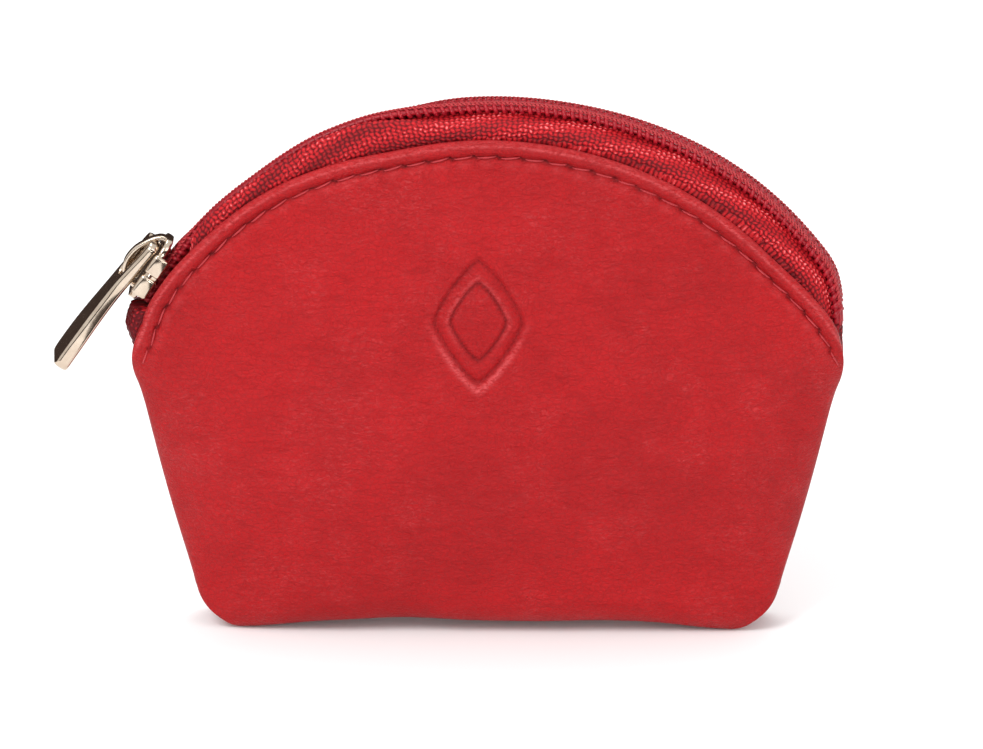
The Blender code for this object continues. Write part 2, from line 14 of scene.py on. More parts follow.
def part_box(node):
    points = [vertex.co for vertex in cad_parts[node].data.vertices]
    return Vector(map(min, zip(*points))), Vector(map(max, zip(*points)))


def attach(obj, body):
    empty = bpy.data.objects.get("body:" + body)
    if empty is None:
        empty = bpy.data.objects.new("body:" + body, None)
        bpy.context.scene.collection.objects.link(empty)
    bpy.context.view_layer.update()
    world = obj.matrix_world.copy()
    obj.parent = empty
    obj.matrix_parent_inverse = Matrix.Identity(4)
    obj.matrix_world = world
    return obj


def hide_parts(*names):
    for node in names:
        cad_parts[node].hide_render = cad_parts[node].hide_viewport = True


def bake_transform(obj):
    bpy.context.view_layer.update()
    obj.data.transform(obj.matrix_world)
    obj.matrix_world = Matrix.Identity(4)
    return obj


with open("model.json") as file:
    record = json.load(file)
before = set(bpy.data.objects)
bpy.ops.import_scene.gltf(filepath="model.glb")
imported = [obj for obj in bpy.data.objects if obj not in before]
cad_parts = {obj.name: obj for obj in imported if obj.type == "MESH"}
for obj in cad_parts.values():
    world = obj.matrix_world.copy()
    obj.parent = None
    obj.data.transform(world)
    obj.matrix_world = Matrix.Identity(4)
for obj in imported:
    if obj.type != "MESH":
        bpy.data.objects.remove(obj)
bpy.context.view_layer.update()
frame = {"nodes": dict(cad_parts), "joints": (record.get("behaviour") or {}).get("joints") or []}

MM = 0.001
FRONT = -1
BACK = 1
JOINTS = {joint["name"]: joint for joint in frame["joints"]}


def box_mm(node):
    low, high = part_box(node)
    return np.array(low) / MM, np.array(high) / MM


# Shape of the purse, read from the frame where the frame holds it

CENTRE_Z = JOINTS["slider_travel"]["pos_m"][2] / MM
ZIP_X = JOINTS["slider_travel"]["pos_m"][0] / MM
EDGE_RADIUS = box_mm("front_panel_upper")[1][2] - CENTRE_Z
ZIP_RISE = 0.3             # the zip stands this much prouder than the CAD solids
COIL_TOP_RADIUS = box_mm("front_coil")[1][2] - CENTRE_Z + ZIP_RISE
TAPE_RADIUS = box_mm("front_tape")[1][2] - CENTRE_Z + ZIP_RISE
HALF_LENGTH = box_mm("front_panel_lower")[1][0]
BELLY_DEPTH = -box_mm("front_panel_lower")[0][1]

# A ramp is a smooth change from 0 to 1: where it starts, and its length. A swell is a bell-shaped
# change: its middle, and its width. Along the arch both are in degrees from the top, positive to
# the right, but a ramp with LEFT in its name counts to the left.

EAR_Z = 43.0               # where the arch edge meets the side seams
EAR_ROUND = 5.5            # the corner there is rounded over this length
EAR_FLARE = 0.75           # the side lines stand out at their upper ends
EAR_FLARE_RAMP = (36.0, 7.0)
BOTTOM_HALF_WIDTH = 41.1   # side lines at z = 0, before the corners are rounded
SIDE_HEIGHT = 41.5         # height at which the side lines reach the CAD's full width
SIDE_SLOPE = (HALF_LENGTH - BOTTOM_HALF_WIDTH) / SIDE_HEIGHT
SIDE_BELLY = 0.45          # the side lines bulge this far in their middle
LOWER_HEIGHT = 34.0        # height of that bulge, and of the part the lifted bottom draws up
CORNER_RADIUS = 6.0        # bottom corners, seen from the front
CORNER_STEPS = 12
SIDE_STEPS = 40
ARCH_STEPS = 400
ARCH_END_RAMP = (0.93, 0.07)  # the arch eases into the ears over this share of its half length

SIDE_LIP = 1.4             # half depth of the rounded leather along the side seams
BOTTOM_LIP = 3.2           # the same along the bottom
BOTTOM_LIP_HEIGHT = 12.0   # the bottom's lip changes to the sides' over this height
ZIP_DEPTH = 5.8            # half depth of the leather along the arch edge
BOTTOM_DEPTH = 7.4         # half depth in the middle, at the bottom
BELLY_Z = 28.0             # height of the largest depth
BOTTOM_ROUND = 5.0         # height over which the bottom rounds under
DOME_POWER = 0.30          # how squarely the leather swells from its side lips at the bottom
DOME_POWER_GAIN = 0.25     # and how much more roundly above
DOME_GAIN_HEIGHT = 14.0
DEPTH_BLEND = 1.6          # the two surfaces of the depth run into each other over this depth
NEAR_ZERO = 1e-9
BOTTOM_LIFT = 1.2          # the bottom seam is drawn up this far between the corners
BOTTOM_LIFT_RAMP = (22.0, 15.0)
LEFT_WAVE = 0.5            # the lifted bottom is a little wavy
LEFT_WAVE_SWELL = (-12.0, 8.0)
RIGHT_WAVE = 0.2
RIGHT_WAVE_SWELL = (17.0, 6.0)

EDGE_ROLL = 0.7            # radius of the turned leather edge along the arch
EDGE_DIP = 0.6             # the arch edge is this much flatter at its top
EDGE_DIP_SWELL = (4.0, 30.0)
LEFT_DIP = 0.25            # and dips a little more just to the left
LEFT_DIP_SWELL = (-13.0, 8.0)
LEFT_BULGE = 1.35          # the arch edge stands out along its left part
LEFT_BULGE_RAMP = (12.0, 28.0)
LEFT_HUMP = 0.35           # most of all beside the slider
LEFT_HUMP_SWELL = (-54.0, 7.0)
LEFT_FADE = 0.5            # and this much less again at the left ear
LEFT_FADE_RAMP = (58.0, 8.0)
END_FLARE = 1.5            # it stands out at the right ear too
END_FLARE_RAMP = (46.0, 18.0)

STITCH_RADIUS = 53.8
STITCH_PITCH = 3.5
STITCH_STEP = math.degrees(STITCH_PITCH / STITCH_RADIUS)
STITCH_END_ANGLE = 68.0
STITCH_SHARE = 0.76        # share of the pitch that the thread shows

WEAVE_HEIGHT = 0.26        # of the yarns above the tape
WEAVE_PITCH_ALONG = 0.78
WEAVE_PITCH_ACROSS = 0.62
TAPE_ENDS = (-68.5, 67.5)
TAPE_COLUMNS = 1301
TAPE_THICKNESS = 0.42
LEFT_FOLD = 2.4            # the tapes' ends are folded up outside the coil's ends
LEFT_FOLD_RAMP = (60.2, 2.0)
LEFT_UNFOLD_RAMP = (64.5, 4.0)
RIGHT_FOLD = 1.3
RIGHT_FOLD_RAMP = (61.2, 1.2)
TAPE_SHOULDER = 0.8        # the front tape covers the coil's lower half on the left
LEFT_UNCOVER_RAMP = (48.0, 4.0)
SHOULDER_GAIN = 0.7        # and stands out more beside the slider
SHOULDER_GAIN_SWELL = (-48.0, 4.0)

COIL_PITCH = 1.27
COIL_HALF_WIDTH = 2.15
COIL_FILAMENT = 0.33       # radius of the monofilament
COIL_ENDS = (-60.5, 61.5)
COIL_TILT = 22.0           # each half of the coil slopes down from the meeting line, in degrees
LEFT_TWIST = 38.0          # the zip's left half is turned towards the back
LEFT_TWIST_RAMP = (4.0, 16.0)
LEFT_UNTWIST_RAMP = (43.0, 9.0)
RIGHT_TWIST = 9.0          # and its right half a little towards the front
RIGHT_TWIST_RAMP = (8.0, 25.0)
LEFT_DROP = 1.0            # the zip dips towards its ends, as in the CAD
LEFT_DROP_RAMP = (61.5, 6.0)
RIGHT_DROP_START = 55.2
RIGHT_DROP_SLOPE = 0.48    # in mm for each degree
RIGHT_DROP_SOFTNESS = 1.2  # in degrees
RIGHT_RISE = 0.45          # the zip's right half stands a little prouder
RIGHT_RISE_RAMP = (5.0, 34.0)
RIGHT_NOTCH = 0.2          # but less so short of its end
RIGHT_NOTCH_SWELL = (51.0, 7.0)
LEFT_SAG = 0.7             # and its left half a little lower, short of the slider
LEFT_SAG_RAMP = (24.0, 14.0)
LEFT_SLIDER_RAMP = (44.0, 6.0)

LOZENGE_MIDDLE = (-1.2, 49.6)
LOZENGE_HALF = (6.6, 9.4)
LOZENGE_POWER = 1.25       # 1 would give straight sides, 2 an ellipse

SLIDER_ANGLE = -56.0       # where the slider is parked, in degrees from the top of the arch
SLIDER_LENGTH = 10.8
TOP_PLATE = (60.6, 61.7, 1.0)      # lowest and highest distance from the arch centre, and scale
BOTTOM_PLATE = (56.6, 57.5, 0.95)
TAIL_HALF_WIDTH = 3.7      # of the plates
NOSE_HALF_WIDTH = 3.5
WEDGE = (-5.0, -3.2, -0.6, 0.6, 57.2, 60.9, 0.3)  # what block() takes
FLANGE_BLOCKS = (
    (-4.0, -0.60, 2.55, 3.85, 59.45, 62.0, 0.50),
    (-0.35, 2.9, 2.45, 3.7, 59.45, 62.0, 0.50),
    (-1.2, 0.8, 2.6, 3.45, 59.6, 61.7, 0.30),
)
CROWN_PATH = (             # along the slider, and out from the arch centre
    (-3.75, 61.2), (-3.60, 62.5), (-2.85, 63.8), (-1.3, 64.60), (0.7, 64.55), (2.5, 63.85),
    (3.85, 63.05), (4.6, 62.2), (4.7, 61.2),
)
CROWN_HALF_WIDTH = 0.75
CROWN_HALF_THICK = 0.38
PIVOT_ALONG = 2.85         # the puller's pivot, along the slider and out from the arch centre
PIVOT_OUT = 62.95
TAB_LENGTH = 23.0          # from the pivot to the puller's tip
TAB_START = 1.0            # and to its round end beyond the pivot
TAB_TIP_ROUND = 1.3
RING_HALF_WIDTH = 3.1
NECK_HALF_WIDTH = 2.7
BLADE_HALF_WIDTH = 3.5
SLOT_HALF_WIDTH = 1.4
SLOT_ENDS = (1.0, 6.5)     # distances from the pivot
TAB_TILT = 2.6             # in degrees
TAB_ROLL = 4.5

ACROSS = np.array([0.0, 1.0, 0.0])


def smooth(value):
    value = np.clip(value, 0.0, 1.0)
    return value * value * (3.0 - 2.0 * value)


def ramp(value, start, length):
    return smooth((value - start) / length)


def bell(value, middle, width):
    return np.exp(-((value - middle) / width) ** 2)


# Meshes


def make_mesh(name, points, quads, body=None):
    """An object in metres from points in millimetres, with its rest place kept for the materials."""
    mesh = bpy.data.meshes.new(name)
    points = np.asarray(points, float)
    quads = np.asarray(quads, np.int32)
    mesh.vertices.add(len(points))
    mesh.vertices.foreach_set("co", (points * MM).ravel().astype(np.float32))
    mesh.loops.add(quads.size)
    mesh.loops.foreach_set("vertex_index", quads.ravel())
    mesh.polygons.add(len(quads))
    mesh.polygons.foreach_set("loop_start", np.arange(len(quads), dtype=np.int32) * 4)
    mesh.update(calc_edges=True)
    mesh.validate()
    mesh.shade_smooth()
    keep_vector(mesh, "rest_mm", points)
    obj = bpy.data.objects.new(name, mesh)
    bpy.context.collection.objects.link(obj)
    if body:
        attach(obj, body)
    return obj


def keep_vector(mesh, name, values):
    attribute = mesh.attributes.new(name, "FLOAT_VECTOR", "POINT")
    attribute.data.foreach_set("vector", np.asarray(values, np.float32).ravel())


def keep_value(mesh, name, values):
    attribute = mesh.attributes.new(name, "FLOAT", "POINT")
    attribute.data.foreach_set("value", np.asarray(values, np.float32).ravel())


def grid_quads(rows, columns, wrap=False, flip=False):
    """Quads between the points of a grid that is stored row by row."""
    across = columns if wrap else columns - 1
    i, j = np.meshgrid(np.arange(rows - 1), np.arange(across), indexing="ij")
    i = i.ravel()
    j = j.ravel()
    k = (j + 1) % columns
    here = i * columns
    above = here + columns
    quads = np.stack([here + j, here + k, above + k, above + j], axis=1)
    return quads[:, ::-1] if flip else quads


def tube_points(path, across, radius, sides):
    """Rings of points round a path; across is any direction that isn't along the path."""
    path = np.asarray(path, float)
    along = np.gradient(path, axis=0)
    along /= np.linalg.norm(along, axis=1)[:, None]
    side = np.cross(along, across)
    side /= np.linalg.norm(side, axis=1)[:, None]
    other = np.cross(along, side)
    turn = np.linspace(0.0, 2.0 * math.pi, sides, endpoint=False)
    radius = np.broadcast_to(np.asarray(radius, float), len(path))
    ring = side[:, None] * np.cos(turn)[None, :, None] + other[:, None] * np.sin(turn)[None, :, None]
    return path[:, None] + ring * radius[:, None, None]


def polar(angle, radius, y):
    """Points on the arch: angle in degrees from the top, positive to the right."""
    a = np.radians(angle)
    x = radius * np.sin(a)
    return np.stack(np.broadcast_arrays(x, y, CENTRE_Z + radius * np.cos(a)), axis=-1)


def on_zip(angle, radius, y):
    """The same for the zip, whose arch stands a little to the right."""
    return polar(angle, radius, y) + (ZIP_X, 0.0, 0.0)


def crest_drop(angle):
    """How far the zip lies below its full radius: it dips at its ends and under the slider."""
    left = LEFT_DROP * ramp(-angle, *LEFT_DROP_RAMP)
    past = (angle - RIGHT_DROP_START) / RIGHT_DROP_SOFTNESS
    right = RIGHT_DROP_SLOPE * RIGHT_DROP_SOFTNESS * np.log1p(np.exp(past))
    slider = ramp(-angle, *LEFT_SLIDER_RAMP)
    sag = LEFT_SAG * ramp(-angle, *LEFT_SAG_RAMP) * (1.0 - slider)
    notch = RIGHT_NOTCH * bell(angle, *RIGHT_NOTCH_SWELL)
    rise = RIGHT_RISE * ramp(angle, *RIGHT_RISE_RAMP) - notch
    return left + right + ZIP_RISE * slider + sag - rise


def edge_offset(angle):
    """How far the leather's arch edge stands outside its plain radius, at an angle in degrees."""
    dip = EDGE_DIP * bell(angle, *EDGE_DIP_SWELL) + LEFT_DIP * bell(angle, *LEFT_DIP_SWELL)
    flare = END_FLARE * ramp(angle, *END_FLARE_RAMP)
    bulge = LEFT_BULGE * ramp(-angle, *LEFT_BULGE_RAMP) + LEFT_HUMP * bell(angle, *LEFT_HUMP_SWELL)
    return bulge * (1.0 - LEFT_FADE * ramp(-angle, *LEFT_FADE_RAMP)) + flare - dip


def left_twist(angle):
    """1 where the zip's left half is turned most, 0 to the right of the top and at the slider."""
    return ramp(-angle, *LEFT_TWIST_RAMP) * (1.0 - ramp(-angle, *LEFT_UNTWIST_RAMP))


def coil_tilt(angle, side):
    """Slope of one half of the coil, in radians."""
    right = RIGHT_TWIST * ramp(angle, *RIGHT_TWIST_RAMP)
    return np.radians(COIL_TILT + side * LEFT_TWIST * left_twist(angle) - side * right)


def tilted(distance, height, tilt):
    """Turns a point of the coil's section down about the meeting line."""
    across = distance * np.cos(tilt) + height * np.sin(tilt)
    return across, height * np.cos(tilt) - distance * np.sin(tilt)


# Outline and depth of the pouch


def side_half_width(z):
    belly = SIDE_BELLY * np.sin(math.pi * np.clip(z / LOWER_HEIGHT, 0.0, 1.0))
    return BOTTOM_HALF_WIDTH + SIDE_SLOPE * z + belly + EAR_FLARE * ramp(z, *EAR_FLARE_RAMP)


def soft_minimum(first, second, width):
    """The smaller of two values, with a rounded change from one to the other."""
    share = np.clip(0.5 + 0.5 * (second - first) / width, 0.0, 1.0)
    return second + (first - second) * share - width * share * (1.0 - share)


def middle_depth(z):
    low = BOTTOM_DEPTH + (BELLY_DEPTH - BOTTOM_DEPTH) * np.sin(0.5 * math.pi * z / BELLY_Z)
    top = CENTRE_Z + EDGE_RADIUS
    fall = np.cos(0.5 * math.pi * np.clip((z - BELLY_Z) / (top - BELLY_Z), 0.0, 1.0))
    high = ZIP_DEPTH + (BELLY_DEPTH - ZIP_DEPTH) * fall
    return np.where(z < BELLY_Z, low, high)


def half_depth(x, z):
    """Half depth of the pouch at a point of its front view."""
    middle = middle_depth(z)

    # Between the side seams the leather swells from a thin lip, and less so near the bottom.
    share = np.clip(x / side_half_width(z), -1.0, 1.0)
    power = DOME_POWER + DOME_POWER_GAIN * smooth(z / DOME_GAIN_HEIGHT)
    dome = (1.0 - share ** 2 + NEAR_ZERO) ** power
    under = np.clip(1.0 - z / BOTTOM_ROUND, 0.0, 1.0)
    dome = dome * np.sqrt(1.0 - under ** 2 + NEAR_ZERO)
    lip = SIDE_LIP + (BOTTOM_LIP - SIDE_LIP) * (1.0 - smooth(z / BOTTOM_LIP_HEIGHT))
    from_sides = lip + (middle - lip) * dome

    # Below the arch edge it is as deep as the zip is wide.
    arch = EDGE_RADIUS ** 2 - np.maximum(z - CENTRE_Z, 0.0) ** 2
    share = np.clip(x ** 2 / np.maximum(arch, 1.0), 0.0, 1.0)
    from_arch = ZIP_DEPTH + (middle - ZIP_DEPTH) * (1.0 - share)
    return soft_minimum(from_sides, from_arch, DEPTH_BLEND)


def dense_ends_and_middle(t):
    """Shares from 0 to 1, closer together at the ends and in the middle."""
    return t - 0.5 * np.sin(4.0 * math.pi * t) / (4.0 * math.pi)


def resample(points, count):
    """count + 1 points along a polyline, closer together at its ends and in its middle."""
    points = np.asarray(points, float)
    steps = np.linalg.norm(np.diff(points, axis=0), axis=1)
    length = np.concatenate([[0.0], np.cumsum(steps)])
    wanted = dense_ends_and_middle(np.linspace(0.0, 1.0, count + 1)) * length[-1]
    return np.stack([np.interp(wanted, length, points[:, k]) for k in range(2)], axis=1)


def corner_arc(start, end):
    """Points round the right bottom corner, between two directions."""
    turn = np.linspace(start, end, CORNER_STEPS)
    x = side_half_width(0.0) - CORNER_RADIUS + CORNER_RADIUS * np.cos(turn)
    return np.stack([x, CORNER_RADIUS * (1.0 - np.sin(turn))], axis=1)


def outline(columns, rows):
    """The four sides of the panel's outline in the front view, as (x, z) points."""
    low = corner_arc(0.25 * math.pi, 0.5 * math.pi)
    bottom = np.concatenate([low * (-1, 1), low[::-1]])
    high = corner_arc(0.25 * math.pi, -math.atan(SIDE_SLOPE))
    shift = side_half_width(high[-1, 1]) - high[-1, 0]
    high[:, 0] += shift * np.linspace(0.0, 1.0, CORNER_STEPS)
    z = np.linspace(high[-1, 1], EAR_Z, SIDE_STEPS)[1:]
    side = np.concatenate([high, np.stack([side_half_width(z), z], axis=1)])
    start = side[-1] - (0.0, CENTRE_Z)
    end_angle = math.atan2(start[0], start[1])
    angle = np.linspace(-end_angle, end_angle, ARCH_STEPS)
    radius = EDGE_RADIUS - EDGE_ROLL + edge_offset(np.degrees(angle))
    ease = (np.linalg.norm(start) - radius) * ramp(np.abs(angle) / end_angle, *ARCH_END_RAMP)
    radius = radius + ease
    arch = np.stack([radius * np.sin(angle), CENTRE_Z + radius * np.cos(angle)], axis=1)
    left, arch = round_ear(side * (-1, 1), arch)
    right, arch = round_ear(side, arch[::-1])
    return (
        resample(bottom, columns), resample(arch[::-1], columns),
        resample(left, rows), resample(right, rows),
    )


def round_ear(side, arch):
    """Rounds the corner where the end of the side meets the start of the arch."""
    corner = side[-1]
    side = side[np.linalg.norm(side - corner, axis=1) > EAR_ROUND]
    arch = arch[np.linalg.norm(arch - corner, axis=1) > EAR_ROUND]
    t = np.linspace(0.0, 1.0, 21)[:, None]
    curve = (1.0 - t) ** 2 * side[-1] + 2.0 * t * (1.0 - t) * corner + t ** 2 * arch[0]
    return np.concatenate([side[:-1], curve[:11]]), np.concatenate([curve[10:], arch[1:]])


def panel_grid(columns, rows):
    """Front-view places of the panel's points: a patch between its four sides."""
    bottom, arch, left, right = outline(columns, rows)
    u = dense_ends_and_middle(np.linspace(0.0, 1.0, columns + 1))[None, :, None]
    v = dense_ends_and_middle(np.linspace(0.0, 1.0, rows + 1))[:, None, None]
    grid = (1.0 - v) * bottom[None] + v * arch[None]
    grid = grid + (1.0 - u) * left[:, None] + u * right[:, None]
    grid = grid - (1.0 - u) * (1.0 - v) * bottom[0] - u * (1.0 - v) * bottom[-1]
    return grid - (1.0 - u) * v * arch[0] - u * v * arch[-1]


def bottom_lift(x, z):
    """How far the bottom is drawn up between the two corners, with a slight waviness."""
    middle = 1.0 - ramp(np.abs(x), *BOTTOM_LIFT_RAMP)
    waves = LEFT_WAVE * bell(x, *LEFT_WAVE_SWELL) + RIGHT_WAVE * bell(x, *RIGHT_WAVE_SWELL)
    return (BOTTOM_LIFT * middle + waves) * (1.0 - smooth(z / LOWER_HEIGHT))


def fractal(points, size, seed):
    """Seeded smooth noise at the points, about -1 to 1, with lumps of the given size."""
    shift = Vector((seed * 17.3, seed * 5.1, seed * 9.7))
    flat = points.reshape(-1, points.shape[-1])
    values = [noise.fractal(Vector((*p, 0.0)) / size + shift, 0.6, 2.0, 2) for p in flat]
    return np.array(values).reshape(points.shape[:-1])


# Leather panels


def lozenge(x, z):
    """Depth of the blind-embossed double lozenge in the middle of the front, with painted shade in its
    grooves and a painted highlight on its rims.
    """
    middle_x, middle_z = LOZENGE_MIDDLE
    half_width, half_height = LOZENGE_HALF
    across = np.abs((x - middle_x) / half_width) ** LOZENGE_POWER
    up = np.abs((z - middle_z) / half_height) ** LOZENGE_POWER
    distance = (across + up) ** (1.0 / LOZENGE_POWER)

    # Bands round the lozenge: their middle and width are shares of its size.
    outer = bell(distance, 0.97, 0.040)
    inner = bell(distance, 0.62, 0.036)
    puffed = bell(distance, 0.79, 0.12)
    rim = bell(distance, 1.10, 0.07)
    field = smooth((1.0 - distance) / 0.10)
    depth = 0.42 * outer + 0.36 * inner + 0.20 * field - 0.18 * puffed - 0.10 * rim
    # Painted highlight along the outer rim below the middle and along the inner band above it; the
    # grooves get painted shade.
    low = smooth((middle_z - z) / half_height + 0.2)
    emboss_highlight = rim * low + 0.6 * bell(distance, 0.70, 0.05) * (1.0 - low)
    return depth, 0.45 * outer + 0.65 * inner, emboss_highlight


def stitch_places():
    """Middle angles of the stitches along the arch edge, in degrees."""
    count = int(STITCH_END_ANGLE / STITCH_STEP)
    return np.arange(-count, count + 1) * STITCH_STEP


def hide_swell(flat, depth, radius, near_arch, seed):
    """Soft unevenness of the hide, quiet along the edges."""
    coarse = flat[::6, ::6]
    swell = 0.50 * fractal(coarse, 26.0, seed) + 0.16 * fractal(coarse, 9.0, seed + 1)
    inside = smooth(np.minimum(1.0, depth / 4.0 - 0.4))
    quiet = inside * (1.0 - near_arch + near_arch * smooth((EDGE_RADIUS - radius) / 5.0))
    return stretch_grid(swell, depth.shape) * quiet


def edge_marks(angle, radius, near_arch):
    """How far the turned edge is raised and the stitch row cut in, with a pale edge line (part rubbed
    leather, part painted highlight) and painted shade in the row.
    """
    from_row = radius - STITCH_RADIUS
    raised = 0.22 * (ramp(from_row, 0.2, 0.7) * near_arch)
    between = (angle / STITCH_STEP + 0.5) % 1.0 - 0.5
    from_hole = (1.0 - np.abs(between) * 2.0) * 0.5 * STITCH_PITCH
    row = bell(from_row, 0.0, 0.55)
    hole = bell(from_row - 0.3 * between, 0.0, 0.23) * bell(from_hole, 0.0, 0.85)
    on_row = near_arch * (np.abs(angle) < STITCH_END_ANGLE + 0.5 * STITCH_STEP)
    # A pale line along the rolled edge, part rubbed leather and part painted highlight, and painted
    # highlights just inside the row beside each stitch.
    wear_and_highlight = 0.95 * bell(radius - EDGE_RADIUS, -0.65, 0.30) * near_arch
    wear_and_highlight = wear_and_highlight + 0.25 * bell(from_row, -0.9, 0.6) * bell(between, 0.0, 0.3) * on_row
    # Painted shade in the stitch groove and the needle holes; the band out to the edge is a little darker
    # too.
    dark = (0.16 * row + 1.0 * hole) * on_row + 0.10 * smooth(from_row / 0.8) * near_arch
    return raised, (0.16 * row + 0.42 * hole) * on_row, wear_and_highlight, dark


def border_places(columns, rows):
    """Rows and columns of the border's points, once round: bottom, right side, arch, left side."""
    border = [(0, j) for j in range(columns)]
    border += [(i, columns) for i in range(rows)]
    border += [(rows, j) for j in range(columns, 0, -1)]
    border += [(i, 0) for i in range(rows, 0, -1)]
    return np.array(border).T


def add_leather_panel(name, side, columns, rows, seed):
    """One leather panel: a patch with a rolled arch edge and rounded lips along the seam."""
    flat = panel_grid(columns, rows)
    x = flat[..., 0]
    z = flat[..., 1]
    depth = half_depth(x, z)
    angle = np.degrees(np.arctan2(x, z - CENTRE_Z))
    radius = np.hypot(x, z - CENTRE_Z) - edge_offset(angle)
    near_arch = ramp(z, EAR_Z - 4.0, 8.0)
    raised, cut, wear_and_highlight, dark = edge_marks(angle, radius, near_arch)
    depth = depth + hide_swell(flat, depth, radius, near_arch, seed) + raised - cut
    if side == FRONT:
        # The emboss adds painted shade in its grooves and a painted highlight on its rims.
        pressed, shade, emboss_highlight = lozenge(x, z)
        depth = depth - pressed
        dark = dark + shade
        wear_and_highlight = wear_and_highlight + emboss_highlight
    face = np.stack([x, side * depth, z + bottom_lift(x, z)], axis=-1)

    i, j = border_places(columns, rows)
    rings = roll_border(face[i, j], border_normals(flat[i, j]), side)
    skirt = x.size + np.arange(len(rings) * len(i)).reshape(len(rings), -1)
    ids = [i * (columns + 1) + j, *skirt]
    quads = [grid_quads(rows + 1, columns + 1, flip=side == BACK)]
    for before, now in zip(ids, ids[1:]):
        quad = np.stack([before, now, np.roll(now, -1), np.roll(before, -1)], axis=1)
        quads.append(quad if side == FRONT else quad[:, ::-1])
    points = np.concatenate([face.reshape(-1, 3), *rings])
    obj = make_mesh(name, points, np.concatenate(quads))
    # The rolled-over rim is a little paler, part rubbed leather and part painted highlight; dark holds
    # the painted shade.
    keep_value(obj.data, "wear_and_highlight", np.append(wear_and_highlight, np.full(skirt.size, 0.25)))
    keep_value(obj.data, "dark", np.append(dark, np.zeros(skirt.size)))
    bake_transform(obj)
    return obj


def stretch_grid(values, shape):
    """Values on a coarse grid, stretched smoothly to a fine one."""
    rows = np.linspace(0.0, values.shape[0] - 1.0, shape[0])
    columns = np.linspace(0.0, values.shape[1] - 1.0, shape[1])
    wide = np.stack([np.interp(columns, np.arange(values.shape[1]), line) for line in values])
    return np.stack([np.interp(rows, np.arange(values.shape[0]), line) for line in wide.T]).T


def border_normals(rim):
    """Outward directions in the front view along a closed border."""
    along = np.roll(rim, -1, axis=0) - np.roll(rim, 1, axis=0)
    along /= np.linalg.norm(along, axis=1)[:, None]
    return np.stack([along[:, 1], -along[:, 0]], axis=1)


def roll_border(rim, outward, side):
    """Rings of points that round the leather over: lips at the seam, a rolled arch edge."""
    arch = ramp(rim[:, 2], EAR_Z - 1.0, 7.0)[:, None]
    out = np.stack([outward[:, 0], np.zeros(len(rim)), outward[:, 1]], axis=1)
    inward = np.array([0.0, -side, 0.0])
    lip = np.abs(rim[:, 1])[:, None] - 0.05
    tuck = np.minimum(lip, 2.0)
    rings = []
    for part in np.linspace(0.0, 1.0, 9)[1:]:
        turn = 0.5 * math.pi * part
        at_seam = -tuck * (1.0 - math.cos(turn)), lip * math.sin(turn)
        turn = math.pi * part
        at_arch = EDGE_ROLL * math.sin(turn), EDGE_ROLL * (1.0 - math.cos(turn))
        move_out = (1.0 - arch) * at_seam[0] + arch * at_arch[0]
        move_in = (1.0 - arch) * at_seam[1] + arch * at_arch[1]
        rings.append(rim + out * move_out + inward * move_in)
    rings.append(rings[-1] - out * 3.5)
    return rings


# Zip


def leather_inner(angle, radius):
    """Distance from the centre plane to the inside of the turned leather edge, on the zip's arch."""
    place = on_zip(angle, radius, 0.0)
    return half_depth(place[..., 0], place[..., 2]) - 2.0 * EDGE_ROLL


def tape_section(angle, side):
    """Curves across the tape at each angle: distance from the centre plane, and radius."""
    drop = crest_drop(angle)
    left_fold = LEFT_FOLD * ramp(-angle, *LEFT_FOLD_RAMP) * (1.0 - ramp(-angle, *LEFT_UNFOLD_RAMP))
    top = TAPE_RADIUS - drop + left_fold + RIGHT_FOLD * ramp(angle, *RIGHT_FOLD_RAMP)
    edge = EDGE_RADIUS + 0.1 - 0.7 * drop
    tuck = np.clip(leather_inner(angle, edge) - 0.12, 1.2, 4.4)
    deep = np.clip(leather_inner(angle, edge - 5.0) - 0.30, 1.0, 6.0)
    slope = np.sin(coil_tilt(angle, side))
    gain = 1.0 + SHOULDER_GAIN * bell(angle, *SHOULDER_GAIN_SWELL)
    shown = ramp(-angle, *LEFT_TWIST_RAMP) * (1.0 - ramp(-angle, *LEFT_UNCOVER_RAMP))
    shoulder = TAPE_SHOULDER * gain * shown * (side == FRONT)
    key = [
        (np.full_like(top, 0.35), top - 0.10),
        (tuck * 0.42, top - tuck * 0.37 * slope),
        (tuck * 0.68, top - tuck * 0.66 * slope + shoulder),
        (tuck * 0.90, top - tuck * 0.90 * slope - 0.2 + 0.8 * shoulder),
        (tuck, edge),
        (tuck + 0.05, edge - 1.5),
        (deep, edge - 5.0),
    ]
    share = np.concatenate([
        np.linspace(0.0, 0.48, 26), np.linspace(0.494, 0.77, 40), np.linspace(0.83, 1.0, 4)
    ])
    section = spline_through(np.stack([np.stack(point, axis=1) for point in key]), share)
    return section[..., 0], section[..., 1]


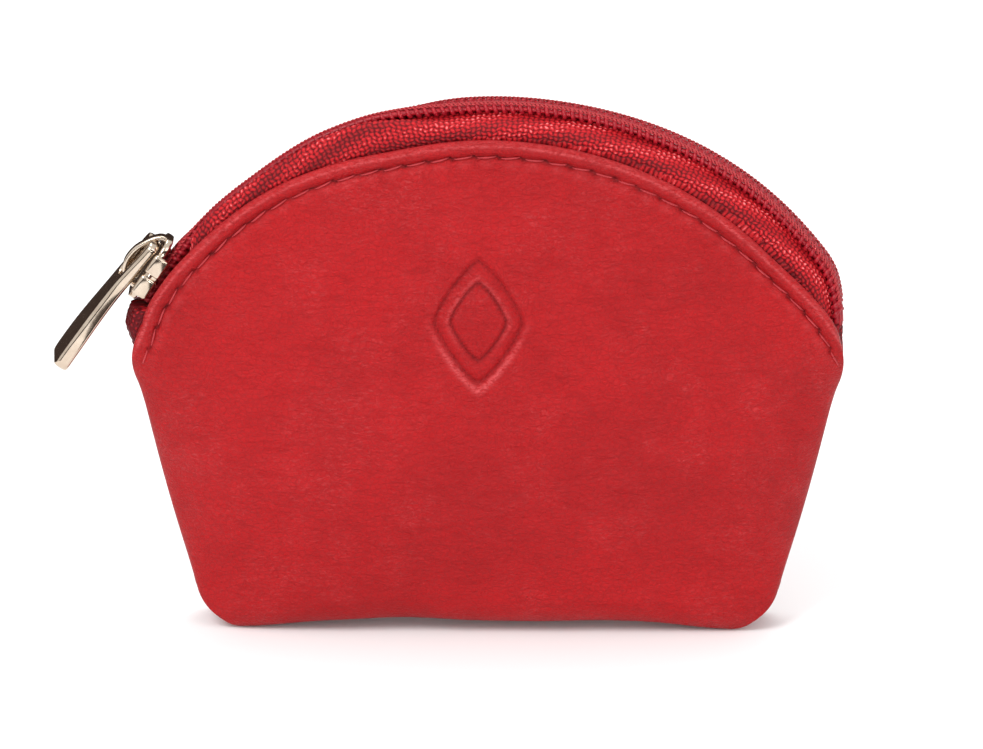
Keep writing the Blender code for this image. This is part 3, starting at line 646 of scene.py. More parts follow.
def add_tape(name, side):
    """A woven tape from under the coil, round to the inside of the leather edge."""
    angle = np.linspace(*TAPE_ENDS, TAPE_COLUMNS)
    q, radius = tape_section(angle, side)
    along = np.radians(angle)[None, :] * TAPE_RADIUS * np.ones_like(q)
    step = np.hypot(np.diff(q, axis=0), np.diff(radius, axis=0))
    across = np.concatenate([np.zeros((1, q.shape[1])), np.cumsum(step, axis=0)])
    height = weave(along, across)
    slope_q = np.gradient(q, axis=0)
    slope_r = np.gradient(radius, axis=0)
    size = np.hypot(slope_q, slope_r)
    outer = on_zip(
        angle[None, :], radius + height * slope_q / size, side * (q - height * slope_r / size)
    )

    # The inner face needs no weave, so it has every fourth point.
    skip = (slice(None, None, 4), slice(None, None, 4))
    thick = TAPE_THICKNESS * smooth(across[skip] / 0.5)
    q_in = q[skip] + thick * (slope_r / size)[skip]
    r_in = radius[skip] - thick * (slope_q / size)[skip]
    inner_face = on_zip(angle[None, ::4], r_in, side * q_in)
    parts = [
        (outer.reshape(-1, 3), grid_quads(*q.shape, flip=side == FRONT)),
        (inner_face.reshape(-1, 3), grid_quads(*q_in.shape, flip=side == BACK)),
    ]
    obj = make_mesh(name, *join_parts(parts))
    cloth = np.stack([along, across, np.zeros_like(along)], axis=-1)
    cloth = np.concatenate([cloth.reshape(-1, 3), cloth[skip].reshape(-1, 3)])
    keep_vector(obj.data, "cloth_mm", cloth)
    # Painted shade: darker where the tape runs in under the leather edge and at both folded ends, and
    # between the yarns of the weave.
    tucked_shade = 0.14 * ramp(across, 2.8, 2.4)
    tucked_shade = tucked_shade + 0.62 * ramp(-angle[None, :], 59.0, 4.0)
    tucked_shade = tucked_shade + 0.42 * ramp(angle[None, :], 60.5, 2.0)
    hollow_shade = 1.0 - height / WEAVE_HEIGHT + tucked_shade
    # The smooth inner face gets a middling painted shade.
    shade = np.append(hollow_shade, np.full(q_in.size, 0.5))
    keep_value(obj.data, "dark", np.clip(shade, 0.0, 1.3))
    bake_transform(obj)
    return obj


def spline_through(key, share):
    """Smooth curves through rows of key points (Catmull-Rom), at shares of their length."""
    count = len(key) - 1
    place = share * count
    i = np.minimum(place.astype(int), count - 1)
    f = (place - i)[:, None, None]
    p0 = key[np.maximum(i - 1, 0)]
    p1 = key[i]
    p2 = key[i + 1]
    p3 = key[np.minimum(i + 2, count)]
    cubic = 2.0 * p1 + (p2 - p0) * f
    cubic = cubic + (2.0 * p0 - 5.0 * p1 + 4.0 * p2 - p3) * f ** 2
    return 0.5 * (cubic + (3.0 * p1 - p0 - 3.0 * p2 + p3) * f ** 3)


def weave(along, across):
    """Height of a plain weave of thick yarns, up to WEAVE_HEIGHT."""
    wobble = 0.13 * np.sin(along * 1.9) + 0.09 * np.sin(along * 4.3 + across * 3.0)
    along = along + 0.10 * np.sin(across * 5.1 + along * 0.7)
    a = along / WEAVE_PITCH_ALONG
    b = (across + wobble) / WEAVE_PITCH_ACROSS
    over = (np.floor(a) + np.floor(b)) % 2
    bump_a = np.sin(math.pi * (a % 1.0))
    bump_b = np.sin(math.pi * (b % 1.0))
    first = bump_a ** 0.8 * (0.45 + 0.55 * bump_b)
    second = bump_b ** 0.8 * (0.45 + 0.55 * bump_a)
    uneven = 0.76 + 0.24 * np.sin(np.floor(a) * 12.9 + np.floor(b) * 7.3)
    return WEAVE_HEIGHT * uneven * np.where(over > 0.5, first, second)


def tube(path, across, radius, sides):
    """Points and quads of an open tube."""
    rings = tube_points(path, across, radius, sides)
    return rings.reshape(-1, 3), grid_quads(len(path), sides, wrap=True)


def squarish(wave):
    """A sine wave with fuller corners."""
    return np.sign(wave) * np.abs(wave) ** 0.75


def add_coil(name, side):
    """One half of the coil: a flattened monofilament helix along the arch, round filler cords."""
    start, end = COIL_ENDS
    low = TAPE_RADIUS + 0.08
    middle_r = 0.5 * (low + COIL_TOP_RADIUS)
    half_r = 0.5 * (COIL_TOP_RADIUS - low) - COIL_FILAMENT
    head_q = -0.10
    bend_q = COIL_HALF_WIDTH - COIL_FILAMENT
    middle_q = 0.5 * (head_q + bend_q)
    half_q = 0.5 * (bend_q - head_q)
    pitch = math.degrees(COIL_PITCH / middle_r)
    turns = int((end - start) / pitch)
    steps = 16
    turn = np.arange(turns * steps + 1) / steps
    phase = 2.0 * math.pi * turn
    angle = start + pitch * (turn + (0.5 if side == BACK else 0.0))
    q = middle_q - half_q * squarish(np.cos(phase))
    q, height = tilted(q, half_r * squarish(np.sin(phase)), coil_tilt(angle, side))
    path = on_zip(angle, middle_r + height - crest_drop(angle), side * q)
    axis = polar(angle + 90.0, 1.0, 0.0) - (0.0, 0.0, CENTRE_Z)
    parts = [tube(path, axis, COIL_FILAMENT, 8)]

    # Filler cords: distance from the meeting line, height and radius. The outer one fills the twist.
    angle = np.linspace(start, end + 1.0, 240)
    twist = left_twist(angle)
    outer_cord = (1.40, 0.08 + 0.16 * twist, 0.34 + 0.12 * twist)
    for place, height, thick in ((0.28, 0.20, 0.38), (0.85, 0.18, 0.44), outer_cord):
        q, height = tilted(place, height, coil_tilt(angle, side))
        cord = on_zip(angle, middle_r + height - crest_drop(angle), side * q)
        parts.append(tube(cord, ACROSS, thick, 10))
    obj = make_mesh(name, *join_parts(parts))
    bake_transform(obj)
    return obj


def add_coil_thread(name, side):
    """The two strands of chain stitch that hold the coil to its tape."""
    start, end = COIL_ENDS
    pitch = math.degrees(COIL_PITCH / COIL_TOP_RADIUS)
    steps = 8
    turns = int((end - start - 1.0) / pitch)
    turn = np.arange(turns * steps + 1) / steps
    angle = start + pitch * turn
    middle_r = 0.5 * (COIL_TOP_RADIUS + TAPE_RADIUS)
    parts = []
    for strand in (0.0, 0.5):
        phase = 2.0 * math.pi * (turn + strand + (0.25 if side == BACK else 0.0))
        q = 1.05 + 0.25 * np.sin(phase)
        height = COIL_TOP_RADIUS - middle_r - 0.08 + 0.10 * np.cos(phase)
        q, height = tilted(q, height, coil_tilt(angle, side))
        path = on_zip(angle, middle_r + height - crest_drop(angle), side * q)
        parts.append(tube(path, ACROSS, 0.135 + 0.03 * np.sin(phase * 2.0), 6))
    obj = make_mesh(name, *join_parts(parts))
    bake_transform(obj)
    return obj


def add_edge_stitches(name, side):
    """The row of stitches along the arch edge, each dipping into its needle holes."""
    parts = []
    part = np.linspace(-1.0, 1.0, 9)
    half_angle = 0.5 * STITCH_STEP * STITCH_SHARE
    for k, middle in enumerate(stitch_places()):
        slant = 0.12 + 0.05 * math.sin(k * 2.4)
        angle = middle + half_angle * part
        radius = STITCH_RADIUS + edge_offset(angle) + slant * part
        place = polar(angle, radius, 0.0)
        depth = half_depth(place[:, 0], place[:, 2])
        height = -0.42 + 0.42 * np.sqrt(np.clip(1.0 - part ** 2, 0.0, 1.0))
        thick = 0.06 + 0.065 * np.clip(1.0 - part ** 4, 0.0, 1.0)
        parts.append(tube(polar(angle, radius, side * (depth + height)), ACROSS, thick, 8))
    obj = make_mesh(name, *join_parts(parts))
    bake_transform(obj)
    return obj


def add_lining(name, side):
    """The cloth lining of one side, a little loose inside the leather."""
    columns = 70
    rows = 60
    middle = np.array([0.0, 40.0])
    flat = middle + (panel_grid(columns, rows) - middle) * (0.955, 0.965)
    x = flat[..., 0]
    z = flat[..., 1]
    depth = half_depth(x / 0.97, z) - 2.4
    depth = np.maximum(depth + 0.25 * fractal(flat, 7.0, 5 + side), 0.35)
    outer = np.stack([x, side * depth, z + bottom_lift(x, z) + 0.6], axis=-1)
    obj = make_mesh(name, outer.reshape(-1, 3), grid_quads(rows + 1, columns + 1, flip=side == BACK))
    thick = obj.modifiers.new("thickness", "SOLIDIFY")
    thick.thickness = 0.3 * MM
    thick.offset = -1.0
    apply_modifiers(obj)
    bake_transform(obj)
    return obj


def apply_modifiers(obj):
    """Puts the modifiers' result into the mesh."""
    bpy.context.view_layer.update()
    graph = bpy.context.evaluated_depsgraph_get()
    mesh = bpy.data.meshes.new_from_object(
        obj.evaluated_get(graph), preserve_all_data_layers=True, depsgraph=graph
    )
    obj.modifiers.clear()
    obj.data = mesh


# Slider and puller, in the slider's own directions: along the zip, across, and outwards


def on_slider(along, across, out):
    """Places of points given along the slider (towards its tail), across it and outwards."""
    a = math.radians(SLIDER_ANGLE)
    along, across, out = np.broadcast_arrays(along, across, out)
    x = ZIP_X + along * math.cos(a) + out * math.sin(a)
    z = CENTRE_Z - along * math.sin(a) + out * math.cos(a)
    return np.stack([x, across, z], axis=-1)


def rounded_ring(near, far, low, high, near_round, far_round, corner=5, between=0):
    """A rounded rectangle as (across, out) points; the two sides may be rounded differently."""
    turn = np.linspace(0.0, 0.5 * math.pi, corner)
    points = []
    for side, up, start in ((1, 1, 0.0), (-1, 1, 0.5), (-1, -1, 1.0), (1, -1, 1.5)):
        radius = far_round if side > 0 else near_round
        radius = min(radius, 0.5 * (far - near), 0.5 * (high - low))
        x = (far - radius) if side > 0 else (near + radius)
        y = (high - radius) if up > 0 else (low + radius)
        a = start * math.pi + turn
        corner_points = list(zip(x + radius * np.cos(a), y + radius * np.sin(a)))
        if points and side != up:
            points += midpoints(points[-1], corner_points[0], between)
        points += corner_points
    return points


def midpoints(first, last, count):
    """Points spaced evenly between two others."""
    shares = np.linspace(0.0, 1.0, count + 2)[1:-1]
    return [(first[0] + (last[0] - first[0]) * f, first[1] + (last[1] - first[1]) * f) for f in shares]


def loft(along, rings):
    """Points and quads of a closed tube through rings of (across, out) points, with its ends shut."""
    first = np.array(rings[0])
    last = np.array(rings[-1])
    rings = [0.02 * first + 0.98 * first.mean(axis=0)] + [np.array(r) for r in rings]
    rings.append(0.02 * last + 0.98 * last.mean(axis=0))
    along = np.concatenate([[along[0]], along, [along[-1]]])
    rings = np.array(rings)
    places = on_slider(along[:, None], rings[..., 0], rings[..., 1])
    return places.reshape(-1, 3), grid_quads(len(rings), rings.shape[1], wrap=True)


def join_parts(parts):
    points = []
    quads = []
    count = 0
    for part_points, part_quads in parts:
        points.append(part_points)
        quads.append(part_quads + count)
        count += len(part_points)
    return np.concatenate(points), np.concatenate(quads)


def block(start, end, near, far, low, high, rounding, sign=1):
    """A block with rounded edges all round, along the slider."""
    steps = np.linspace(0.0, 0.5 * math.pi, 6)
    grow = np.concatenate([np.sin(steps), np.sin(steps)[::-1]])
    along = np.concatenate([
        start + rounding * (1.0 - np.cos(steps)), end - rounding * (1.0 - np.cos(steps))[::-1]
    ])
    rings = []
    for share in grow:
        shrink = rounding * (1.0 - share)
        ring = rounded_ring(near + shrink, far - shrink, low + shrink, high - shrink,
                            rounding, rounding)
        rings.append([(sign * y, n) for y, n in ring])
    points, quads = loft(along, rings)
    return points, quads[:, ::-1] if sign < 0 else quads


def plate(low, high, scale):
    """The slider's top or bottom plate: a long rounded leaf."""
    half = 0.5 * SLIDER_LENGTH * scale
    along = half * np.sin(0.5 * math.pi * np.linspace(-1.0, 1.0, 41))
    share = np.abs(along / half)
    wide = np.where(along < 0.0, TAIL_HALF_WIDTH, NOSE_HALF_WIDTH)
    wide = wide - 0.35 * np.clip(along / half, 0.0, 1.0)
    width = scale * wide * np.clip(1.0 - share ** 5.0, 0.0, 1.0) ** 0.42 + 0.05
    shut = np.clip((1.0 - share) / 0.05, 0.0, 1.0)
    middle = 0.5 * (low + high)
    half_thick = 0.5 * (high - low) * (0.35 + 0.65 * np.sqrt(shut))
    rings = [
        rounded_ring(-w, w, middle - h, middle + h, 0.38, 0.38) for w, h in zip(width, half_thick)
    ]
    return loft(along, rings)


def crown():
    """The arch over the top plate, which the puller's eye hangs in."""
    share = np.linspace(0.0, 1.0, 49)
    path = spline_through(np.array(CROWN_PATH)[:, None, :], share)[:, 0, :]
    along = np.gradient(path, axis=0)
    along /= np.linalg.norm(along, axis=1)[:, None]
    out = np.stack([-along[:, 1], along[:, 0]], axis=1)
    half_width = CROWN_HALF_WIDTH
    half_thick = CROWN_HALF_THICK
    ring = np.array(rounded_ring(-half_width, half_width, -half_thick, half_thick, 0.30, 0.30))
    widen = 1.0 + 0.35 * np.abs(2.0 * share - 1.0) ** 3
    places = on_slider(
        path[:, None, 0] + out[:, None, 0] * ring[None, :, 1],
        ring[None, :, 0] * widen[:, None],
        path[:, None, 1] + out[:, None, 1] * ring[None, :, 1],
    )
    return places.reshape(-1, 3), grid_quads(len(path), len(ring), wrap=True)


def add_slider():
    parts = [plate(*TOP_PLATE), plate(*BOTTOM_PLATE), crown(), block(*WEDGE)]
    for sign in (-1, 1):
        parts += [block(*sizes, sign) for sizes in FLANGE_BLOCKS]
    obj = make_mesh("slider_casting", *join_parts(parts), body="slider")
    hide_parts("slider_body")
    return obj


def puller_widths(s):
    """Half widths of the tab and of its slot at distances s along it from the pivot."""
    width = RING_HALF_WIDTH + (NECK_HALF_WIDTH - RING_HALF_WIDTH) * smooth(s / 9.0)
    width = width + (BLADE_HALF_WIDTH - NECK_HALF_WIDTH) * ramp(s, 7.0, 12.0)
    from_start = np.clip((s + TAB_START) / 1.3, 0.0, 1.0)
    width = width * np.clip(1.0 - (1.0 - from_start) ** 2.6, 0.0, 1.0) ** 0.38
    to_tip = np.clip((s - (TAB_LENGTH - TAB_TIP_ROUND)) / TAB_TIP_ROUND, 0.0, 1.0)
    width = width - 1.25 * (1.0 - np.sqrt(1.0 - to_tip ** 2))
    slot_start, slot_end = SLOT_ENDS
    slot = SLOT_HALF_WIDTH * np.clip((s - slot_start) / 0.25, 0.0, 1.0) ** 0.5
    round_end = np.clip((slot_end - s) / SLOT_HALF_WIDTH, 0.0, 1.0)
    slot = slot * np.sqrt(np.clip(1.0 - (1.0 - round_end) ** 2, 0.0, 1.0))
    return width, slot


def puller_stations():
    """Distances from the pivot of the tab's sections, closer together where its shape changes."""
    ease = np.linspace(0.0, 0.5 * math.pi, 9)
    s = np.concatenate([
        -TAB_START + 0.75 * (1.0 - np.cos(ease)), np.linspace(-0.15, 0.95, 7),
        1.0 + np.linspace(0.01, 0.3, 6), np.linspace(1.5, 4.9, 12),
        SLOT_ENDS[1] - SLOT_HALF_WIDTH * (1.0 - np.sin(ease)), np.linspace(7.0, TAB_LENGTH - 1.4, 30),
        TAB_LENGTH - TAB_TIP_ROUND + TAB_TIP_ROUND * np.sin(ease),
    ])
    return np.unique(np.round(s, 4))


def add_puller():
    """The long tab: a ring round the crown, a narrower neck and a wider, slightly bowed blade."""
    s = puller_stations()
    width, slot = puller_widths(s)
    thick = 1.60 + 0.3 * ramp(s, 1.5, 6.0) + 0.25 * ramp(s, 9.0, 12.0)
    shut = np.clip((s + TAB_START) / 0.45, 0.0, 1.0) * np.clip((TAB_LENGTH - s) / 0.25, 0.0, 1.0)
    half = 0.5 * thick * (0.55 + 0.45 * np.sqrt(shut))
    bow = 0.45 * np.sin(math.pi * np.clip(s / (TAB_LENGTH + 3.0), 0.0, 1.0))
    tilt = math.radians(TAB_TILT)
    roll = math.radians(TAB_ROLL)
    along = PIVOT_ALONG - s * math.cos(tilt)
    out = PIVOT_OUT + s * math.sin(tilt) + bow
    parts = []
    for sign in (-1, 1):
        rings = np.array([
            rounded_ring(inner, max(w, inner + 0.1), -h, h, 0.45 if inner > 0.05 else 0.001, 0.65,
                         corner=8, between=5)
            for w, inner, h in zip(width, slot, half)
        ])
        # The bar inside the crown is thinner than the sides of the ring.
        bar = (1.0 - ramp(rings[..., 0], 0.8, 0.9)) * (1.0 - ramp(s[:, None], 1.0, 0.4))
        across = sign * rings[..., 0]
        height = rings[..., 1] * (1.0 - 0.45 * bar) - 0.22 * bar + across * math.sin(roll)
        across = across * math.cos(roll) - rings[..., 1] * math.sin(roll)
        places = on_slider(
            along[:, None] + height * math.sin(tilt), across, out[:, None] + height * math.cos(tilt)
        )
        caps = [ring.mean(axis=0) + 0.02 * (ring - ring.mean(axis=0)) for ring in (places[0], places[-1])]
        places = np.concatenate([caps[0][None], places, caps[1][None]])
        quads = grid_quads(len(places), rings.shape[1], wrap=True)
        parts.append((places.reshape(-1, 3), quads if sign < 0 else quads[:, ::-1]))
    obj = make_mesh("puller_tab", *join_parts(parts), body="puller")
    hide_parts("puller")
    return obj


# Materials


class Nodes:
    """A material and short ways to add and link its nodes."""

    def __init__(self, name):
        self.material = bpy.data.materials.new(name)
        self.material.use_nodes = True
        self.tree = self.material.node_tree
        self.shader = self.tree.nodes["Principled BSDF"]

    def finish(self, colour=None, rough=None, normal=None, **values):
        """Links what varies over the surface, sets what doesn't, and gives the material."""
        linked = {"Base Color": colour, "Roughness": rough, "Normal": normal}
        for socket, output in linked.items():
            if output is not None:
                self.link(output, self.shader.inputs[socket])
        for key, value in values.items():
            self.shader.inputs[key.replace("_", " ")].default_value = value
        return self.material

    def add(self, kind, **settings):
        node = self.tree.nodes.new(kind)
        for key, value in settings.items():
            setattr(node, key, value)
        return node

    def link(self, output, socket):
        self.tree.links.new(output, socket)

    def attribute(self, name, output):
        return self.add("ShaderNodeAttribute", attribute_name=name).outputs[output]

    def pattern(self, kind, place, output, numbers, **settings):
        """A texture or mapping node; numbers holds the values of its sockets."""
        node = self.add(kind, **settings)
        self.link(place, node.inputs["Vector"])
        for key, number in numbers.items():
            node.inputs[key].default_value = number
        return node.outputs[output]

    def noise(self, place, scale, detail, roughness=0.5, distortion=0.0):
        numbers = {"Scale": scale, "Detail": detail, "Roughness": roughness, "Distortion": distortion}
        return self.pattern("ShaderNodeTexNoise", place, "Fac", numbers)

    def cells(self, place, scale):
        """Distance to the edges of irregular cells."""
        numbers = {"Scale": scale}
        feature = "DISTANCE_TO_EDGE"
        return self.pattern("ShaderNodeTexVoronoi", place, "Distance", numbers, feature=feature)

    def bands(self, place, direction, scale, distortion):
        numbers = {"Scale": scale, "Distortion": distortion}
        settings = {"wave_type": "BANDS", "bands_direction": direction}
        return self.pattern("ShaderNodeTexWave", place, "Fac", numbers, **settings)

    def stretch(self, place, x, y, z, turn=0.0):
        numbers = {"Scale": (x, y, z), "Rotation": (0.0, math.radians(turn), 0.0)}
        return self.pattern("ShaderNodeMapping", place, "Vector", numbers)

    def warp(self, place, scale, amount):
        """The place, moved about by soft noise, so that patterns don't look ruled."""
        scaled = self.add("ShaderNodeVectorMath", operation="MULTIPLY_ADD")
        moved = self.pattern("ShaderNodeTexNoise", place, "Color", {"Scale": scale})
        self.link(moved, scaled.inputs[0])
        scaled.inputs[1].default_value = (amount, amount, amount)
        self.link(place, scaled.inputs[2])
        return scaled.outputs[0]

    def math(self, operation, first, second=0.0, third=0.0, clamp=False):
        node = self.add("ShaderNodeMath", operation=operation, use_clamp=clamp)
        for socket, value in zip(node.inputs, (first, second, third)):
            if isinstance(value, (int, float)):
                socket.default_value = value
            else:
                self.link(value, socket)
        return node.outputs[0]

    def remap(self, value, low, high, to_low=0.0, to_high=1.0):
        node = self.add("ShaderNodeMapRange", interpolation_type="SMOOTHSTEP")
        self.link(value, node.inputs["Value"])
        numbers = {"From Min": low, "From Max": high, "To Min": to_low, "To Max": to_high}
        for key, number in numbers.items():
            node.inputs[key].default_value = number
        return node.outputs[0]

    def mix(self, factor, first, second):
        node = self.add("ShaderNodeMix", data_type="RGBA")
        self.link(factor, node.inputs[0])
        for socket, value in zip((node.inputs[6], node.inputs[7]), (first, second)):
            if isinstance(value, tuple):
                socket.default_value = (*value, 1.0)
            else:
                self.link(value, socket)
        return node.outputs[2]

    def bump(self, height, distance_mm, strength, under=None):
        node = self.add("ShaderNodeBump")
        node.inputs["Strength"].default_value = strength
        node.inputs["Distance"].default_value = distance_mm * MM
        self.link(height, node.inputs["Height"])
        if under is not None:
            self.link(under, node.inputs["Normal"])
        return node.outputs["Normal"]


def leather_colour(m, place, pebbles, patch, glossy_highlight_patches, streaks):
    """Red that varies in soft clouds and is darker in the grain, with painted highlights on glossy
    patches, specks and the rubbed edges, and painted shade in the holes and grooves.
    """
    deep_red = (0.295, 0.0022, 0.0042)
    clear_red = (0.350, 0.0030, 0.0052)
    patch_highlight_red = (0.390, 0.0085, 0.0115)
    grain_red = (0.205, 0.0035, 0.0060)
    speck_highlight_pink = (0.500, 0.0750, 0.0780)
    edge_rub_highlight_pink = (0.560, 0.0750, 0.0800)
    hole_shade_red = (0.060, 0.0012, 0.0025)
    cloud = m.noise(place, 0.055, 3.0, 0.55)
    wear_and_highlight = m.attribute("wear_and_highlight", "Fac")
    dark = m.attribute("dark", "Fac")
    # Painted highlights: pale pink specks over the glossy patches, and a pale edge line that is part
    # rubbed leather and part highlight.
    highlight_specks = m.math("MULTIPLY", m.remap(streaks, 0.52, 0.68), m.remap(patch, 0.44, 0.64, 0.04, 0.85))
    broken_wear_and_highlight = m.math("MULTIPLY", wear_and_highlight, m.remap(streaks, 0.36, 0.60, 0.10, 0.75))
    colour = m.mix(m.remap(cloud, 0.32, 0.68), deep_red, clear_red)
    # The glossy patches are painted paler, as a highlight.
    colour = m.mix(m.math("MULTIPLY", glossy_highlight_patches, 0.25), colour, patch_highlight_red)
    colour = m.mix(m.remap(pebbles, 0.0, 0.16, 0.40, 0.0), colour, grain_red)
    colour = m.mix(m.math("MULTIPLY", highlight_specks, 0.30), colour, speck_highlight_pink)
    colour = m.mix(broken_wear_and_highlight, colour, edge_rub_highlight_pink)
    # Painted shade in the needle holes, the stitch groove and the emboss grooves.
    return m.mix(m.math("MULTIPLY", dark, 0.80, clamp=True), colour, hole_shade_red)


def leather_material():
    m = Nodes("red_leather")
    place = m.attribute("rest_mm", "Vector")
    warped = m.warp(place, 0.35, 1.2)
    pebbles = m.cells(warped, 1.30)
    fine = m.noise(place, 3.6, 4.0, 0.62)
    creases = m.noise(m.stretch(warped, 0.16, 0.3, 0.50, 14.0), 1.0, 5.0, 0.62, 1.4)
    crease_lines = m.math("ABSOLUTE", m.math("SUBTRACT", creases, 0.5))
    patch = m.noise(m.warp(place, 0.10, 6.0), 0.085, 5.0, 0.62)
    # Patches that are glossier, and that the colour paints paler as a highlight.
    glossy_highlight_patches = m.remap(patch, 0.47, 0.68)
    streaks = m.noise(m.stretch(warped, 1.3, 1.3, 3.0, 24.0), 1.0, 4.0, 0.65, 0.8)
    rough = m.math("MULTIPLY_ADD", fine, 0.16, 0.38)
    rough = m.math("MULTIPLY_ADD", glossy_highlight_patches, -0.15, rough)
    normal = m.bump(m.remap(pebbles, 0.0, 0.28), 0.060, 0.60)
    normal = m.bump(m.remap(crease_lines, 0.0, 0.030), 0.120, 0.45, normal)
    normal = m.bump(streaks, 0.42, 0.60, normal)
    normal = m.bump(fine, 0.140, 0.75, normal)
    colour = leather_colour(m, place, pebbles, patch, glossy_highlight_patches, streaks)
    return m.finish(colour, rough, normal, Specular_IOR_Level=0.18)


def tape_material():
    m = Nodes("woven_tape")
    yarn_red = (0.36, 0.0045, 0.0085)
    fibre_red = (0.52, 0.0140, 0.0190)
    tip_highlight_pink = (0.76, 0.200, 0.200)
    gap_shade_red = (0.070, 0.0006, 0.0030)
    cloth = m.attribute("cloth_mm", "Vector")
    dark = m.attribute("dark", "Fac")
    fibres = m.noise(m.stretch(cloth, 3.0, 9.0, 1.0), 1.0, 3.0, 0.6)
    speck = m.noise(cloth, 0.9, 2.0, 0.6)
    colour = m.mix(m.remap(fibres, 0.35, 0.70), yarn_red, fibre_red)
    # Painted highlights on the tips of the yarns; painted shade between them, under the leather edge and
    # at the ends.
    tip = m.math("MULTIPLY", m.remap(dark, 0.05, 0.38, 1.0, 0.0), m.remap(speck, 0.38, 0.62, 0.15, 1.0))
    colour = m.mix(tip, colour, tip_highlight_pink)
    colour = m.mix(m.remap(dark, 0.40, 1.00, 0.0, 0.95), colour, gap_shade_red)
    return m.finish(colour, None, m.bump(fibres, 0.06, 0.6), Roughness=0.52, Specular_IOR_Level=0.16)


def coil_material():
    m = Nodes("nylon_coil")
    speck = m.noise(m.attribute("rest_mm", "Vector"), 2.2, 2.0)
    colour = m.mix(m.remap(speck, 0.3, 0.7), (0.21, 0.0035, 0.010), (0.34, 0.0085, 0.016))
    rough = m.math("MULTIPLY_ADD", speck, 0.16, 0.26)
    return m.finish(colour, rough, Specular_IOR_Level=0.28)


def thread_material():
    m = Nodes("polyester_thread")
    ply = m.bands(m.attribute("rest_mm", "Vector"), "DIAGONAL", 2.6, 1.0)
    colour = m.mix(ply, (0.26, 0.008, 0.014), (0.50, 0.060, 0.065))
    return m.finish(colour, None, m.bump(ply, 0.05, 0.7), Roughness=0.50, Specular_IOR_Level=0.2)


def lining_material():
    m = Nodes("lining_cloth")
    place = m.attribute("rest_mm", "Vector")
    cloth = m.math("MULTIPLY", m.bands(place, "X", 1.1, 0.6), m.bands(place, "Z", 1.1, 0.6))
    colour = m.mix(m.noise(place, 0.3, 3.0), (0.10, 0.008, 0.014), (0.20, 0.016, 0.024))
    normal = m.bump(cloth, 0.08, 0.6)
    return m.finish(colour, None, normal, Roughness=0.72, Specular_IOR_Level=0.3, Sheen_Weight=0.2)


def metal_material():
    m = Nodes("polished_nickel")
    place = m.add("ShaderNodeTexCoord").outputs["Object"]
    smudge = m.noise(m.stretch(place, 400.0, 400.0, 400.0), 1.0, 4.0, 0.6)
    scratch = m.noise(m.stretch(place, 300.0, 3500.0, 3500.0, 30.0), 1.0, 3.0, 0.6)
    colour = m.mix(m.remap(smudge, 0.35, 0.75), (0.56, 0.455, 0.36), (0.70, 0.590, 0.48))
    rough = m.math("MULTIPLY_ADD", smudge, 0.10, 0.07)
    return m.finish(colour, rough, m.bump(scratch, 0.004, 0.25), Metallic=1.0)


def plain_material(name, colour, roughness, specular):
    """A material of the stage."""
    values = {"Base_Color": (*colour, 1.0), "Roughness": roughness, "Specular_IOR_Level": specular}
    return Nodes(name).finish(**values)


def dress(obj, material):
    obj.data.materials.clear()
    obj.data.materials.append(material)


# Building the purse


def build_pouch():
    leather = leather_material()
    tape = tape_material()
    coil = coil_material()
    thread = thread_material()
    lining = lining_material()
    for side, prefix, columns, rows in ((FRONT, "front", 280, 230), (BACK, "back", 200, 160)):
        panel = add_leather_panel(
            prefix + "_leather", side, columns, rows, seed=3 + side
        )
        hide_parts(prefix + "_panel_lower", prefix + "_panel_upper")
        dress(panel, leather)
        cloth = add_lining(prefix + "_lining_cloth", side)
        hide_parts(prefix + "_lining_lower", prefix + "_lining_upper")
        dress(cloth, lining)
        band = add_tape(prefix + "_woven_tape", side)
        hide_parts(prefix + "_tape", prefix + "_tape_end_left", prefix + "_tape_end_right")
        dress(band, tape)
        chain = add_coil(prefix + "_coil_half", side)
        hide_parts(prefix + "_coil", prefix + "_coil_end_right")
        dress(chain, coil)
        chain_stitch = add_coil_thread(prefix + "_coil_stitches", side)
        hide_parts(prefix + "_coil_thread")
        dress(chain_stitch, thread)
        stitches = add_edge_stitches(prefix + "_edge_stitches", side)
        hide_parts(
            prefix + "_edge_stitching", prefix + "_edge_stitching_left",
            prefix + "_edge_stitching_right",
        )
        dress(stitches, thread)
    for node in ("left_end_tack", "right_end_tack", "seam_thread"):
        show_node(node, thread)
    metal = metal_material()
    dress(add_slider(), metal)
    dress(add_puller(), metal)


def show_node(node, material):
    """A CAD node that stays in view, with a better material."""
    obj = frame["nodes"][node]
    if not obj.material_slots:
        obj.data.materials.append(material)
    for place in obj.material_slots:
        place.material = material


# Stage, light and camera, in metres

CAMERA_AZIMUTH = 1.2       # in degrees
CAMERA_ELEVATION = 20.0
CAMERA_DISTANCE = 1.50
CAMERA_LENS = 375.2        # in mm
CAMERA_TARGET = (0.66, -5.0, 40.4)  # in mm
LIGHT_TARGET = (0.0, 0.0, 0.04)
LIGHTS = (                 # name, place, size and power
    ("key", (-0.40, -0.50, 0.70), 0.45, 4.5),
    ("fill", (0.55, -0.55, 0.45), 0.50, 1.0),
    ("top", (0.10, 0.25, 0.85), 0.50, 2.0),
    ("spark", (0.15, -0.85, 0.10), 0.12, 2.6),
)
UPRIGHT_CARDS = (          # name, y, left, right and top
    ("card_behind", 0.13, -0.90, 0.06, 0.20),
    ("card_in_front", -0.30, -0.40, 0.40, 0.07),
    ("card_tall", -0.31, -0.03, 0.40, 0.20),
)
LOW_CARD = (-0.035, 0.40, -0.29, -0.04)  # left, right, near and far


def add_flat(name, corners, material):
    """One flat piece, which its caller stages."""
    mesh = bpy.data.meshes.new(name)
    mesh.from_pydata(corners, [], [(0, 1, 2, 3)])
    mesh.materials.append(material)
    flat = bpy.data.objects.new(name, mesh)
    bpy.context.collection.objects.link(flat)
    return flat


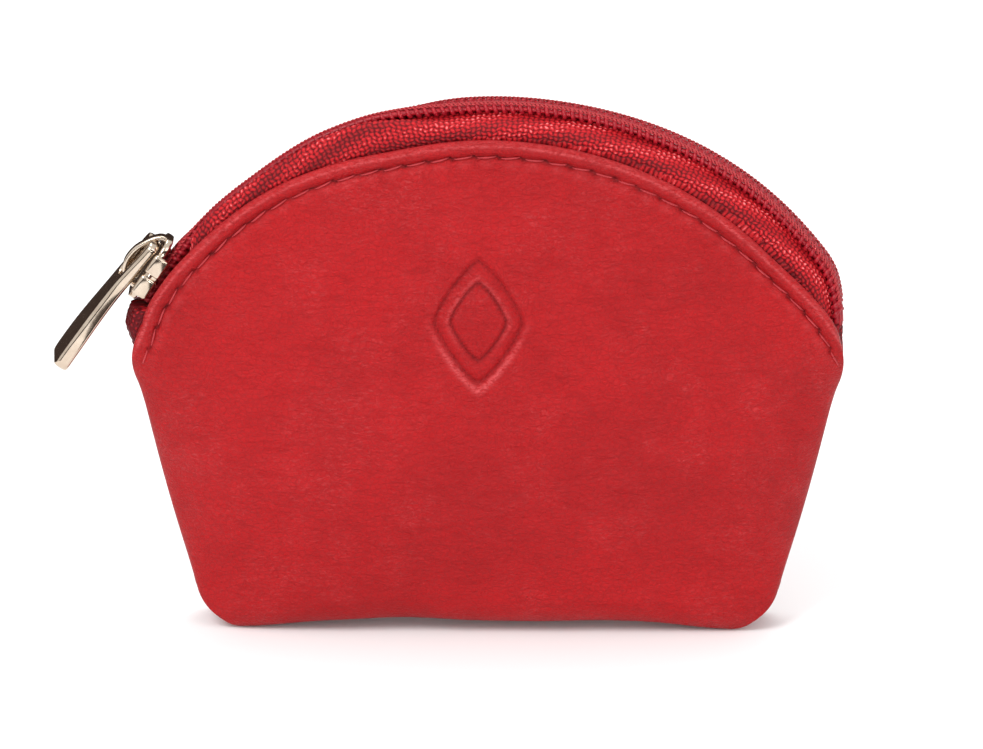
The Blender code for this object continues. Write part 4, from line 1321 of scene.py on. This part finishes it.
def add_floor():
    size = 4.0
    corners = [(-size, -size, 0.0), (size, -size, 0.0), (size, size, 0.0), (-size, size, 0.0)]
    floor = add_flat("floor", corners, plain_material("pale_floor", (0.90, 0.90, 0.90), 0.65, 0.2))


def add_area_light(name, place, size, power):
    light = bpy.data.lights.new(name, "AREA")
    light.shape = "DISK"
    light.size = size
    light.energy = power
    obj = bpy.data.objects.new(name, light)
    obj.location = place
    aim = Vector(LIGHT_TARGET) - Vector(place)
    obj.rotation_euler = aim.to_track_quat("-Z", "Y").to_euler()
    bpy.context.collection.objects.link(obj)


def add_card(name, corners, material):
    """A dark card that is seen only in reflections, which gives the metal its darks."""
    card = add_flat(name, corners, material)
    card.visible_camera = False
    card.visible_diffuse = False
    card.visible_shadow = False
    card.visible_transmission = False


def add_cards():
    material = plain_material("dark_card", (0.035, 0.024, 0.020), 0.9, 0.1)
    foot = 0.002
    for name, y, left, right, top in UPRIGHT_CARDS:
        corners = [(left, y, foot), (right, y, foot), (right, y, top), (left, y, top)]
        add_card(name, corners, material)
    left, right, near, far = LOW_CARD
    corners = [(left, near, foot), (right, near, foot), (right, far, foot), (left, far, foot)]
    add_card("card_low", corners, material)


def add_light():
    for name, place, size, power in LIGHTS:
        add_area_light(name, place, size, power)
    world = bpy.data.worlds.new("studio")
    world.use_nodes = True
    background = world.node_tree.nodes["Background"]
    background.inputs["Color"].default_value = (1.0, 1.0, 1.0, 1.0)
    background.inputs["Strength"].default_value = 0.95
    bpy.context.scene.world = world
    bpy.context.scene.view_settings.view_transform = "Standard"


def add_camera():
    """A long lens in front of the purse, looking down on it a little."""
    azimuth = math.radians(CAMERA_AZIMUTH)
    elevation = math.radians(CAMERA_ELEVATION)
    data = bpy.data.cameras.new("camera")
    data.sensor_width = 36.0
    data.lens = CAMERA_LENS
    data.clip_start = 0.01
    data.clip_end = 20.0
    camera = bpy.data.objects.new("camera", data)
    away = Vector((
        math.sin(azimuth) * math.cos(elevation),
        -math.cos(azimuth) * math.cos(elevation),
        math.sin(elevation),
    ))
    camera.location = Vector(CAMERA_TARGET) * MM + away * CAMERA_DISTANCE
    camera.rotation_euler = (-away).to_track_quat("-Z", "Y").to_euler()
    bpy.context.collection.objects.link(camera)
    bpy.context.scene.camera = camera


build_pouch()
add_floor()
add_cards()
add_light()
add_camera()
